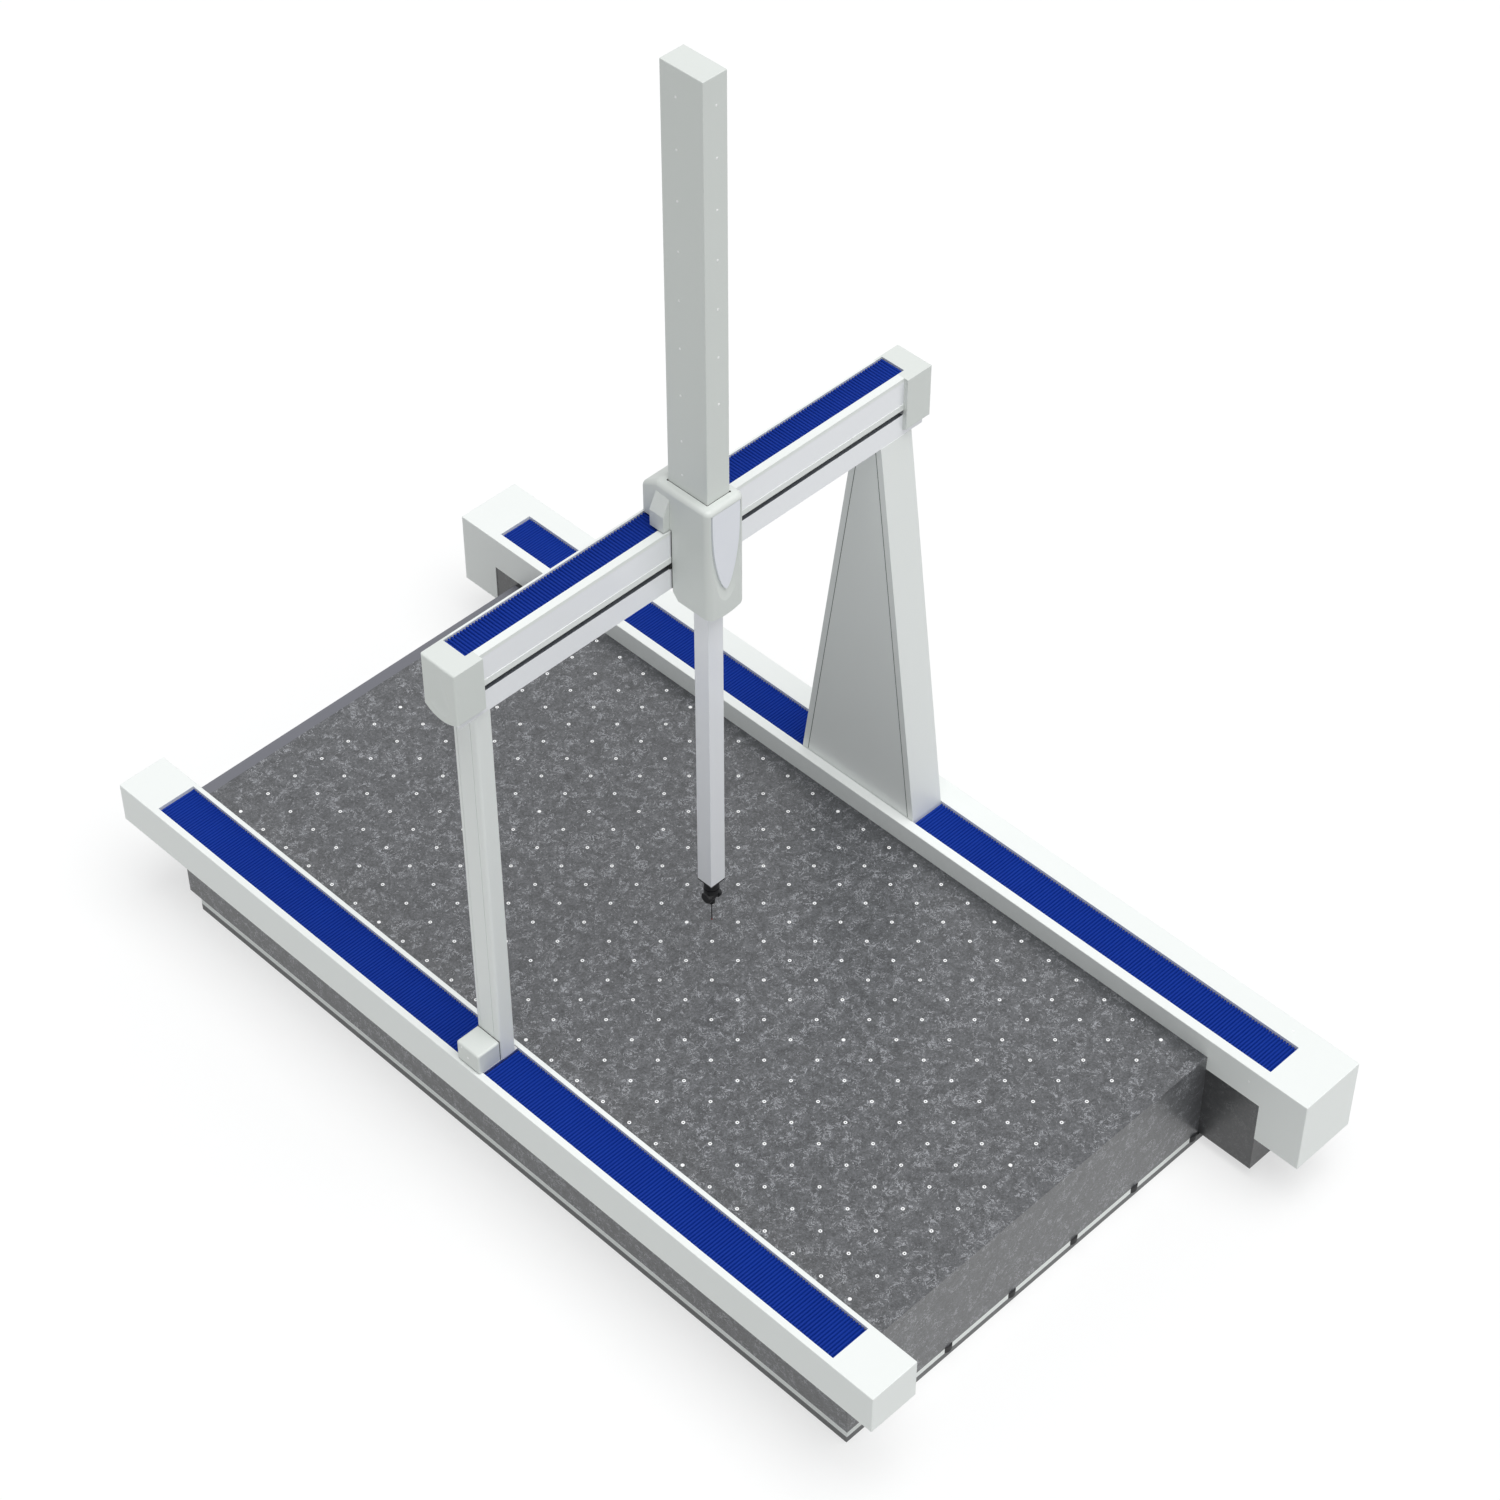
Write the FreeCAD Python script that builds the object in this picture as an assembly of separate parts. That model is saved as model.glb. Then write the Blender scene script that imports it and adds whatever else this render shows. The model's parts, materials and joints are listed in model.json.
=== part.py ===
import FreeCAD, Part
import math
import os

# Bridge coordinate measuring machine, in millimetres, +Z up.
# X runs along the crossbeam, Y along the table, and the origin is on the floor
# under the middle of the machine. Every piece is made where it sits with the
# bridge at the middle of the table and the spindle part way down.

V = FreeCAD.Vector

# Granite table and its inserts
slab_width = 2065.0
slab_length = 3966.0
slab_thickness = 472.5
insert_pitch = 150.0
insert_stride = 6
insert_radius = 8.0
insert_tap_radius = 3.4
insert_depth = 25.0
insert_near_margin = 199.5
insert_far_margin = 65.5
insert_front_margin = 190.5
insert_rear_margin = 175.5

# Base under the table
base_thickness = 36.0
base_far_overrun = 47.0
base_front_setback = 1.5
base_rear_shortfall = 75.0
frame_height = 30.0
frame_rail_width = 60.0
foot_radius = 32.0
foot_pitch = 367.5
foot_count = 6
foot_far_inset = 27.2
foot_front_inset = 24.0
foot_rear_inset = 38.0
foot_clearance = 0.5

# Guide beam beside the table, with its raised rail
guide_width = 134.0
guide_overrun = 273.0
guide_groove_width = 36.0
guide_groove_depth = 72.7

# Cable tray behind the table
tray_depth = 144.0
tray_height = 100.0
tray_drop = 105.0
tray_return = 30.0

# Sheet metal covers along both guides
sheet = 3.0
cover_rise = 100.7
cover_edge_radius = 4.0
cover_seat_depth = 5.0
lip_depth = 41.0
ledge_width = 8.0
near_overhang = 120.5
near_cover_width = 239.0
near_cover_drop = 204.2
near_slot_margin = 30.5
near_slot_width = 186.9
near_upstand = 40.0
near_box_length = 230.0
far_overhang = 192.5
far_cover_drop = 376.7
far_slot_margin = 41.5
far_slot_width = 176.7
far_return = 26.0
far_box_length = 220.0
bracket_count = 6
bracket_thickness = 4.0
bracket_width = 50.0
bracket_height = 44.0
bracket_drop = 252.5

# Bellows that close the slots
bellows_gap = 0.3
bellows_height = 25.5

# Travel of the bridge, the carriage and the spindle
carriage_x = -58.0
spindle_up = 1350.0
spindle_down = 150.0

# Air bearings and drives
air_gap = 0.1
rim_gap = 0.3
pad_boss_share = 0.42
pad_boss_width = 0.5
drive_wheel_radius = 25.0
drive_wheel_height = 20.0
spindle_wheel_radius = 28.0
spindle_wheel_width = 16.0
shaft_radius = 4.95
shaft_clearance = 0.05
scale_thickness = 1.0
scale_read_gap = 0.8

# Right truck on the guide rail
truck_length = 800.0
truck_cheek_length = 660.0
truck_plate_thickness = 28.0
truck_rise = 17.5
truck_neck_height = 21.0
truck_cheek_thickness = 18.5
truck_side_pad = 11.9
truck_outer_pad = 18.0
truck_pad_half = 31.0
truck_top_pad_half = 36.0
truck_pad_spacing = 560.0
truck_outboard = 96.5
truck_corner_radius = 12.0
truck_neck_inset = 12.0
truck_neck_end = 3.0
truck_inner_clearance = 14.2
truck_outer_drop = 118.5
truck_web_thickness = 10.0
truck_web_height = 60.0
truck_web_inset = 30.0
truck_web_setback = 8.0
y_bar_thickness = 8.0
y_bar_height = 24.0
y_bar_drop = 146.5
y_bar_end_margin = 56.0
y_scale_height = 10.0
y_scale_drop = 97.5
y_motor_radius = 28.0
y_motor_gap = 18.0
y_motor_inset = 30.0
y_readhead_length = 46.0
y_readhead_inset = 12.0
y_readhead_half_height = 12.0
motor_bevel = 3.0

# Legs and crossbeam
right_leg_width = 171.8
right_leg_foot = 650.0
right_leg_head = 142.0
leg_border = 30.0
leg_panel_margin = 4.0
leg_rebate = 12.0
leg_panel_seam = 1.5
leg_rib_count = 4
leg_rib_thickness = 12.0
left_leg_width = 71.0
left_leg_depth = 136.0
left_leg_inset = 5.5
left_leg_wall = 6.0
left_leg_radius = 14.0
left_groove_rear = 44.0
left_groove_front = -34.0
left_groove_width = 3.0
left_groove_depth = 2.0
left_truck_length = 340.0
left_pad_spacing = 240.0
left_plate_near_gap = 3.5
left_plate_far_lap = 0.6
left_plate_radius = 10.0
left_neck_gap = 12.5
left_neck_end = 6.0
left_seat_gap = 2.0
left_seat_height = 32.0
left_leg_slot_gap = 2.0
foot_cover_depth = 128.0
foot_cover_height = 104.8
foot_cover_overhang = 12.5
foot_cover_lift = 1.0
foot_cover_radius = 10.0
foot_skirt_gap = 4.0
right_leg_gap = 2.0
beam_end_inset = 50.0
beam_front = -70.0
beam_rear = 86.0
beam_bottom = 2532.0
beam_height = 266.0
beam_wall = 14.0
beam_slot_web = 15.0
beam_trough_depth = 36.0
beam_trough_front = 35.0
beam_trough_rear = 5.0
beam_slot_bottom = 102.0
beam_slot_height = 27.0
beam_slot_depth = 22.0
beam_trim_height = 27.0
beam_trim_thickness = 2.0
beam_cover_height = 17.0
beam_cover_rear_overhang = 4.0
x_bar_thickness = 6.0
x_bar_height = 24.0
x_bar_rise = 106.0
x_bar_end_gap = 3.0
x_scale_height = 15.0
cap_grip = 113.0
cap_overrun = 24.0
cap_front = -90.0
cap_rear = 90.0
cap_wall = 4.0
cap_belly_drop = 275.0
cap_belly_rise = 33.0
cap_edge_radius = 8.0
cap_skirt = 60.0
scoop_depth = 8.0
scoop_half = 52.0
scoop_rise_low = 92.0
scoop_length = 150.0
cap_notch = 35.0
beam_bellows_drop = 6.0

# Carriage, its covers and the column
housing_half = 95.0
housing_front = -265.0
housing_back = -47.0
housing_beam_gap = 4.0
housing_rise = 192.0
housing_drop = 348.0
housing_arc = 19.0
housing_wall = 4.0
housing_corner_radius = 28.0
housing_top_radius = 20.0
housing_chamfer_run = 32.0
housing_chamfer_rise = 34.0
housing_chamfer_foot = 14.0
housing_mouth_sill = 40.0
housing_back_rim = 4.0
spindle_hole_gap = 3.0
dish_depth = 9.0
badge_gap = 0.4
cover_wall = 3.0
cover_beam_gap = 5.0
rear_wrap_half = 80.0
bump_half = 128.0
bump_front = -66.0
bump_rear = 6.0
bump_vertical = 74.0
bump_height = 143.0
column_half = 56.5
column_front = -224.0
column_back = -20.0
column_wall = 2.5
column_height = 1824.0
column_edge_radius = 3.0
column_cap_height = 9.0
column_gap = 2.0
post_thickness = 12.0
post_half = 50.0
post_back_gap = 1.5
post_top_gap = 1.0
post_lid_setback = 6.5
spindle_drive_rise = 85.0
spindle_flange_gap = 0.6
spindle_flange_thickness = 3.4
spindle_flange_reach = 22.0
spindle_flange_half = 30.0
spindle_motor_radius = 25.0
spindle_motor_length = 38.0
wheel_hollow_depth = 5.0
wheel_rim = 4.0
wheel_hub_radius = 9.0

# Carriage frame and its bearings on the beam
saddle_half = 70.0
saddle_clearance = 10.0
saddle_lift = 27.0
bridge_plate_thickness = 20.0
bearing_half = 75.0
carriage_shelf_thickness = 18.0
carriage_web_thickness = 10.0
front_pad_half = 34.0
front_pad_u = 38.0
front_pad_rise_high = 221.0
front_pad_rise_low = 51.0
saddle_pad_half = 31.0
saddle_pad_u = 34.0
saddle_pad_thickness = 15.9
rear_flange_front = 92.0
rear_flange_back = 101.0
rear_flange_half = 56.0
bridge_plate_wide_back = 70.0
rear_plate_front = 100.0
rear_plate_back = 110.0
rear_step_rise = 225.0
rear_step_height = 15.0
rear_wide_rise = 140.0
rear_narrow_rise = 20.0
rear_narrow_u = -5.0
rear_pad_half = 32.0
rear_pad_u = -40.0
rear_pad_rise_high = 170.0
rear_pad_rise_low = 55.0
x_wheel_u = 40.0
motor_shelf_drop = 6.0
motor_shelf_thickness = 10.0
motor_shelf_half = 24.0
motor_hole_radius = 12.0
x_motor_radius = 24.0
x_motor_length = 122.0
readhead_half_height = 9.0
x_readhead_half = 20.0

# Outlines of the scooped recess and the badge, half width and depth below the housing's top
dish_half_outline = [(77.0, 21.0), (79.0, 130.0), (74.0, 240.0), (62.0, 335.0),
                     (46.0, 410.0), (24.0, 456.0), (0.0, 471.0)]
badge_half_outline = [(70.0, 23.0), (69.0, 95.0), (63.0, 202.0), (50.0, 284.0),
                      (31.0, 357.0), (14.0, 396.0), (0.0, 411.0)]
dish_floor_spread = 1.5
dish_floor_drop = 2.5

# Rear cover over the carriage's back
crown_rear_half = 92.0
crown_back = 77.0
crown_slope_start = 10.0
crown_drop = 40.0
spine_half = 62.0
spine_front = 60.0
spine_back = 104.0
spine_rise = 56.0
wrap_reach = 40.0
wrap_drop = 40.0
wrap_low_rise = 180.0
wrap_high_rise = 240.0
wrap_bar_clearance = 2.0
bump_seam = 0.5

# Spindle, counterbalance and probe head
spindle_size = 78.0
spindle_wall = 12.0
spindle_bottom = 957.0
spindle_length = 2440.0
spindle_y = -165.0
spindle_plate = 8.0
spindle_edge_radius = 2.0
guide_pad_half = 20.0
guide_pad_spacing = 360.0
guide_pad_low = 60.0
guide_cavity_half = 59.0
guide_tube_wall = 18.0
guide_tube_height = 475.0
rod_radius = 8.0
piston_radius = 17.95
piston_clearance = 0.05
piston_height = 30.0
piston_margin = 10.0
cylinder_wall = 4.0
gland_thickness = 12.0
gland_clearance = 0.1
head_mount_radius = 32.0
head_mount_height = 44.0
head_disc_radius = 33.0
head_disc_height = 21.0
head_bevel = 3.0
yoke_inset = 6.0
yoke_setback = 9.0
axle_cover = 5.0
axle_end_gap = 1.0
tilt_drop = 91.0
cheek_radius = 26.0
cheek_inner = 20.0
cheek_outer = 35.5
knuckle_radius = 22.0
knuckle_half = 19.0
swivel_radius = 10.0
swivel_length = 16.0
swivel_end_gap = 1.0
trunnion_radius = 5.0
probe_radius = 14.5
probe_length = 50.0
probe_bevel = 4.0
stem_radius = 2.5
stem_length = 96.0
ball_radius = 4.0
ball_seat = 2.0

# Places that follow from the sizes above
machine_width = near_overhang + slab_width + guide_width + far_overhang
near_out = -machine_width / 2
far_out = machine_width / 2
slab_near = near_out + near_overhang
slab_far = slab_near + slab_width
guide_far = slab_far + guide_width
rail_near = slab_far + guide_groove_width
rail_middle = (rail_near + guide_far) / 2
slab_half = slab_length / 2
guide_half = slab_half + guide_overrun
slab_bottom = base_thickness + frame_height
slab_top = slab_bottom + slab_thickness
groove_floor = slab_top - guide_groove_depth
cover_top = slab_top + cover_rise
cover_middle = cover_top - sheet / 2
cover_seat = slab_top - cover_seat_depth
ledge_top = cover_top - lip_depth + sheet
bellows_bottom = ledge_top + bellows_gap
base_rear = slab_half - base_rear_shortfall
near_slot_out = near_out + near_slot_margin
near_slot_in = near_slot_out + near_slot_width
near_cover_in = near_out + near_cover_width
far_cover_in = slab_far - sheet
far_slot_in = slab_far + far_slot_margin
far_slot_out = far_slot_in + far_slot_width
far_cover_bottom = cover_top - far_cover_drop
near_cover_bottom = cover_top - near_cover_drop
plate_bottom = slab_top + truck_rise
plate_top = plate_bottom + truck_plate_thickness
neck_top = plate_top + truck_neck_height
beam_top = beam_bottom + beam_height
trough_floor = beam_top - beam_trough_depth
trough_front = beam_front + beam_trough_front
trough_rear = beam_rear - beam_trough_rear
beam_cover_top = beam_top + beam_cover_height
slot_floor = beam_bottom + beam_slot_bottom
slot_ceiling = slot_floor + beam_slot_height
slot_back = beam_front + beam_slot_depth
beam_half = machine_width / 2 - beam_end_inset
cap_inner = beam_half - cap_grip
cap_outer = beam_half + cap_overrun
x_bar_bottom = beam_bottom + x_bar_rise
x_wheel_y = beam_rear + x_bar_thickness + rim_gap + drive_wheel_radius
y_bar_bottom = slab_top - y_bar_drop - y_bar_height / 2
y_wheel_x = guide_far + y_bar_thickness + rim_gap + drive_wheel_radius
y_wheel_y = truck_length / 2 - y_motor_inset
bridge_plate_bottom = beam_cover_top + saddle_lift
bridge_plate_top = bridge_plate_bottom + bridge_plate_thickness
motor_shelf_top = x_bar_bottom - motor_shelf_drop
motor_shelf_bottom = motor_shelf_top - motor_shelf_thickness
rear_wrap_front = beam_rear + x_bar_thickness + wrap_bar_clearance
housing_top = beam_cover_top + housing_rise
housing_bottom = beam_cover_top - housing_drop
shelf_top = housing_top - housing_top_radius
rear_bottom = beam_cover_top + cover_beam_gap
tube_half = guide_cavity_half + guide_tube_wall
tube_front = spindle_y - tube_half
tube_back = spindle_y + tube_half
tube_bottom = shelf_top - guide_tube_height
column_top = shelf_top + column_height
post_top = column_top - post_top_gap
spindle_half = spindle_size / 2
spindle_top = spindle_bottom + spindle_length
mount_top = spindle_bottom - spindle_plate
disc_top = mount_top - head_mount_height
tilt_z = spindle_bottom - spindle_plate - tilt_drop


def block(x0, x1, y0, y1, z0, z1):
    return Part.makeBox(x1 - x0, y1 - y0, z1 - z0, V(x0, y0, z0))


def prism(points, direction):
    wire = Part.makePolygon(points + [points[0]])
    return Part.Face(wire).extrude(direction)


def along_x(outline, x0, x1):
    return prism([V(x0, y, z) for y, z in outline], V(x1 - x0, 0, 0))


def along_y(outline, y0, y1):
    return prism([V(x, y0, z) for x, z in outline], V(0, y1 - y0, 0))


def along_z(outline, z0, z1):
    return prism([V(x, y, z0) for x, y in outline], V(0, 0, z1 - z0))


def upright(x, y, z0, z1, radius):
    return Part.makeCylinder(radius, z1 - z0, V(x, y, z0))


def join(*shapes):
    return shapes[0].multiFuse(list(shapes[1:])).removeSplitter()


def group(solids):
    return Part.makeCompound(solids)


def mirror_x(shape):
    return shape.mirror(V(0, 0, 0), V(1, 0, 0))


def mirror_y(shape):
    return shape.mirror(V(0, 0, 0), V(0, 1, 0))


def middle(edge):
    return edge.valueAt((edge.FirstParameter + edge.LastParameter) / 2)


def runs_along(edge, direction):
    first = edge.valueAt(edge.FirstParameter)
    last = edge.valueAt(edge.LastParameter)
    span = last - first
    return span.Length > 1 and abs(span.normalize().dot(direction)) > 0.999


def soften(shape, radius, wanted):
    edges = [edge for edge in shape.Edges if wanted(edge)]
    return shape.makeFillet(radius, edges)


def bevel(shape, size, wanted):
    edges = [edge for edge in shape.Edges if wanted(edge)]
    return shape.makeChamfer(size, edges)


def near(value, target):
    return abs(value - target) < 0.01


def save(name, shape):
    if not shape.isValid():
        print("not valid:", name)
    shape.exportStep("parts/%s.step" % name)


def pad_block(face_centre, direction, half, start, end):
    """A square block round a line, from start to end along its direction."""
    spread = V(half, half, half) - V(abs(direction.x), abs(direction.y), abs(direction.z)) * half
    a = face_centre + direction * start
    b = face_centre + direction * end
    low = V(min(a.x, b.x), min(a.y, b.y), min(a.z, b.z)) - spread
    high = V(max(a.x, b.x), max(a.y, b.y), max(a.z, b.z)) + spread
    return block(low.x, high.x, low.y, high.y, low.z, high.z)


def air_pad(face_centre, direction, half, thickness):
    """A flat square air bearing: a pad face with a smaller boss on its back."""
    pad = thickness * (1 - pad_boss_share)
    return join(pad_block(face_centre, direction, half, 0, pad),
                pad_block(face_centre, direction, half * pad_boss_width, pad, thickness))


def folded(path, y0, y1):
    """A sheet bent at right angles, along X, Z points of its middle plane."""
    legs = []
    last = len(path) - 2
    for i, ((xa, za), (xb, zb)) in enumerate(zip(path, path[1:])):
        start = sheet / 2 if i > 0 else 0.0
        end = sheet / 2 if i < last else 0.0
        if near(za, zb):
            step = math.copysign(1, xb - xa)
            xs = sorted((xa - step * start, xb + step * end))
            legs.append(block(xs[0], xs[1], y0, y1, za - sheet / 2, za + sheet / 2))
        else:
            step = math.copysign(1, zb - za)
            zs = sorted((za - step * start, zb + step * end))
            legs.append(block(xa - sheet / 2, xa + sheet / 2, y0, y1, zs[0], zs[1]))
    return join(*legs)


def insert_places():
    columns = int((slab_width - insert_near_margin - insert_far_margin) / insert_pitch + 0.001)
    rows = int((slab_length - insert_front_margin - insert_rear_margin) / insert_pitch + 0.001)
    for column in range(0, columns + 1, insert_stride):
        for row in range(0, rows + 1, insert_stride):
            x = slab_near + insert_near_margin + column * insert_pitch
            y = -slab_half + insert_front_margin + row * insert_pitch
            yield x, y


def foot_places():
    front = -slab_half + foot_front_inset
    rear = base_rear - foot_rear_inset
    for i in range(foot_count):
        x = slab_far - foot_far_inset - i * foot_pitch
        for y in (front, (front + rear) / 2, rear):
            yield x, y


def make_base():
    save("base_plate", block(slab_near, slab_far + base_far_overrun,
                             -slab_half + base_front_setback, base_rear, 0, base_thickness))
    ring = block(slab_near, slab_far, -slab_half, base_rear, base_thickness, slab_bottom)
    rail = frame_rail_width
    ring = ring.cut(block(slab_near + rail, slab_far - rail, -slab_half + rail,
                          base_rear - rail, base_thickness, slab_bottom))
    seats = [upright(x, y, base_thickness, slab_bottom, foot_radius + foot_clearance)
             for x, y in foot_places()]
    # A seat that cuts a corner leaves a crumb of the ring, so only the ring is kept.
    save("support_frame", max(ring.cut(group(seats)).Solids, key=lambda solid: solid.Volume))
    save("isolation_mounts", group([upright(x, y, base_thickness, slab_bottom, foot_radius)
                                    for x, y in foot_places()]))


def make_granite():
    slab = block(slab_near, slab_far, -slab_half, slab_half, slab_bottom, slab_top)
    pockets = []
    inserts = []
    for x, y in insert_places():
        sleeve = upright(x, y, slab_top - insert_depth, slab_top, insert_radius)
        pockets.append(sleeve)
        inserts.append(sleeve.cut(upright(x, y, slab_top - insert_depth, slab_top, insert_tap_radius)))
    # The covers stand in shallow seats, so the face between them is free.
    seats = [block(x, x + sheet, -slab_half, slab_half, cover_seat, slab_top)
             for x in (near_cover_in - sheet, far_cover_in)]
    save("granite_table", slab.cut(group(pockets + seats)))
    save("table_inserts", group(inserts))
    guide = along_y([(slab_far, slab_bottom), (guide_far, slab_bottom), (guide_far, slab_top),
                     (rail_near, slab_top), (rail_near, groove_floor), (slab_far, groove_floor)],
                    -guide_half, guide_half)
    save("guide_beam", guide)


def make_tray():
    top = slab_top - tray_drop
    bottom = top - tray_height
    front = slab_half
    rear = slab_half + tray_depth
    outside = block(slab_near, slab_far, front, rear, bottom, top)
    inside = block(slab_near + sheet, slab_far - sheet, front + sheet, rear - sheet,
                   bottom - sheet, top - sheet)
    lip = block(slab_near, slab_far, rear - tray_return, rear, bottom, bottom + sheet)
    save("rear_tray", join(outside.cut(inside), lip))


def make_covers():
    lip_middle = sheet / 2
    ledge_middle = ledge_top - sheet / 2
    near_inner = folded([(near_cover_in - lip_middle, cover_seat), (near_cover_in - lip_middle, cover_middle),
                         (near_slot_in + lip_middle, cover_middle), (near_slot_in + lip_middle, ledge_middle),
                         (near_slot_in - ledge_width, ledge_middle)], -slab_half, slab_half)
    save("near_cover_inner", soften(near_inner, cover_edge_radius, lambda e: runs_along(e, V(0, 1, 0))
         and near(middle(e).x, near_cover_in) and near(middle(e).z, cover_top)))
    near_outer = folded([(near_slot_out + ledge_width, ledge_middle),
                         (near_slot_out - lip_middle, ledge_middle),
                         (near_slot_out - lip_middle, cover_middle), (near_out + lip_middle, cover_middle),
                         (near_out + lip_middle, near_cover_bottom + lip_middle),
                         (slab_near - lip_middle, near_cover_bottom + lip_middle),
                         (slab_near - lip_middle, near_cover_bottom + near_upstand)], -slab_half, slab_half)
    save("near_cover_outer", soften(near_outer, cover_edge_radius, lambda e: runs_along(e, V(0, 1, 0))
         and near(middle(e).x, near_out) and near(middle(e).z, cover_top)))
    far_path = [(far_cover_in + lip_middle, cover_middle), (far_slot_in - lip_middle, cover_middle),
                (far_slot_in - lip_middle, ledge_middle), (far_slot_in + ledge_width, ledge_middle)]
    far_inner = folded([(far_cover_in + lip_middle, cover_seat)] + far_path, -guide_half, guide_half)
    skirt = block(far_cover_in, slab_far, slab_half, guide_half, groove_floor, slab_top)
    far_inner = join(far_inner, skirt, mirror_y(skirt))
    save("far_cover_inner", soften(far_inner, cover_edge_radius, lambda e: runs_along(e, V(0, 1, 0))
         and near(middle(e).x, far_cover_in) and near(middle(e).z, cover_top)))
    far_outer = folded([(far_slot_out - ledge_width, ledge_middle), (far_slot_out + lip_middle, ledge_middle),
                        (far_slot_out + lip_middle, cover_middle), (far_out - lip_middle, cover_middle),
                        (far_out - lip_middle, far_cover_bottom + lip_middle),
                        (far_out - far_return, far_cover_bottom + lip_middle)], -guide_half, guide_half)
    save("far_cover_outer", soften(far_outer, cover_edge_radius, lambda e: runs_along(e, V(0, 1, 0))
         and near(middle(e).x, far_out) and near(middle(e).z, cover_top)))


def end_box(x0, x1, y0, y1, z0):
    """An end box of sheet, open underneath, whose y1 wall closes the cover."""
    outside = block(x0, x1, y0, y1, z0, cover_top)
    outside = soften(outside, cover_edge_radius, lambda e: near(middle(e).y, y0) and middle(e).z > z0 + 1
                     or near(middle(e).z, cover_top) and runs_along(e, V(0, 1, 0)))
    inside = block(x0 + sheet, x1 - sheet, y0 + sheet, y1 - sheet, z0 - sheet, cover_top - sheet)
    return outside.cut(inside)


def make_end_boxes():
    near_box = end_box(near_out, near_cover_in, -slab_half - near_box_length, -slab_half, near_cover_bottom)
    save("near_end_boxes", group([near_box, mirror_y(near_box)]))
    far_box = end_box(far_cover_in, far_out, -guide_half - far_box_length, -guide_half, far_cover_bottom)
    save("far_end_boxes", group([far_box, mirror_y(far_box)]))


def make_brackets():
    z = slab_top - bracket_drop + bracket_height
    brackets = []
    for i in range(bracket_count):
        y = -guide_half + (i + 0.5) * 2 * guide_half / bracket_count
        arm = block(guide_far, far_out - sheet, y - bracket_width / 2, y + bracket_width / 2,
                    z - bracket_thickness, z)
        foot = block(guide_far, guide_far + bracket_thickness, y - bracket_width / 2,
                     y + bracket_width / 2, z - bracket_height, z)
        toe = block(far_out - sheet - bracket_thickness, far_out - sheet, y - bracket_width / 2,
                    y + bracket_width / 2, z - bracket_height / 2, z)
        brackets.append(join(arm, foot, toe))
    save("cover_brackets", group(brackets))


def make_guide_bellows():
    top = bellows_bottom + bellows_height
    for name, x0, x1, leg_half, end in (
            ("near", near_slot_out, near_slot_in, left_leg_depth / 2 - left_leg_slot_gap, slab_half),
            ("far", far_slot_in, far_slot_out, right_leg_foot / 2, guide_half)):
        rear = block(x0 + bellows_gap, x1 - bellows_gap, leg_half + bellows_gap,
                     end - bellows_gap, bellows_bottom, top)
        save(name + "_bellows_rear", rear)
        save(name + "_bellows_front", mirror_y(rear))


def make_y_track():
    bar_half = guide_half - y_bar_end_margin
    save("y_drive_bar", block(guide_far, guide_far + y_bar_thickness, -bar_half, bar_half,
                              y_bar_bottom, y_bar_bottom + y_bar_height))
    z = slab_top - y_scale_drop
    save("y_scale", block(guide_far, guide_far + scale_thickness, -bar_half, bar_half,
                          z - y_scale_height / 2, z + y_scale_height / 2))


def make_right_truck():
    inner_face = rail_near - air_gap - truck_side_pad
    outer_face = guide_far + air_gap + truck_outer_pad
    half = truck_length / 2
    cheek = truck_cheek_length / 2
    plate_near = inner_face - truck_cheek_thickness
    plate_far = guide_far + truck_outboard
    plate = block(plate_near, plate_far, -half, half, plate_bottom, plate_top)
    plate = soften(plate, truck_corner_radius, lambda e: runs_along(e, V(0, 0, 1)))
    inner = block(plate_near, inner_face, -cheek, cheek, groove_floor + truck_inner_clearance, plate_bottom)
    outer = block(outer_face, outer_face + truck_cheek_thickness, -cheek, cheek,
                  slab_top - truck_outer_drop, plate_bottom)
    neck_half = right_leg_foot / 2 - truck_neck_end
    neck = block(far_slot_in + truck_neck_inset, far_slot_out - truck_neck_inset, -neck_half, neck_half,
                 plate_top, neck_top)
    web_half = truck_web_thickness / 2
    web_end = cheek - truck_web_inset
    webs = [block(outer_face + truck_cheek_thickness, plate_far - truck_web_setback, y - web_half,
                  y + web_half, plate_bottom - truck_web_height, plate_bottom)
            for y in (-web_end, 0.0, web_end)]
    save("right_truck", join(plate, inner, outer, neck, *webs))
    head_z = slab_top - y_scale_drop
    head_start = y_readhead_inset - cheek
    head = block(guide_far + scale_thickness + scale_read_gap, outer_face, head_start,
                 head_start + y_readhead_length, head_z - y_readhead_half_height,
                 head_z + y_readhead_half_height)
    save("y_readhead", head)


def make_bridge_bearings():
    """Top pads on both guides, and pads on each side of the raised rail."""
    up = V(0, 0, 1)
    side_z = (groove_floor + slab_top) / 2
    pads = []
    for y in (-truck_pad_spacing / 2, truck_pad_spacing / 2):
        pads.append(air_pad(V(rail_middle, y, slab_top + air_gap), up,
                            truck_top_pad_half, truck_rise - air_gap))
        pads.append(air_pad(V(rail_near - air_gap, y, side_z), V(-1, 0, 0),
                            truck_pad_half, truck_side_pad))
        pads.append(air_pad(V(guide_far + air_gap, y, side_z), V(1, 0, 0),
                            truck_pad_half, truck_outer_pad))
    left_x = (slab_near + near_slot_in - ledge_width) / 2
    for y in (-left_pad_spacing / 2, left_pad_spacing / 2):
        pads.append(air_pad(V(left_x, y, slab_top + air_gap), up,
                            truck_top_pad_half, truck_rise - air_gap))
    save("bridge_air_bearings", group(pads))


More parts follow.
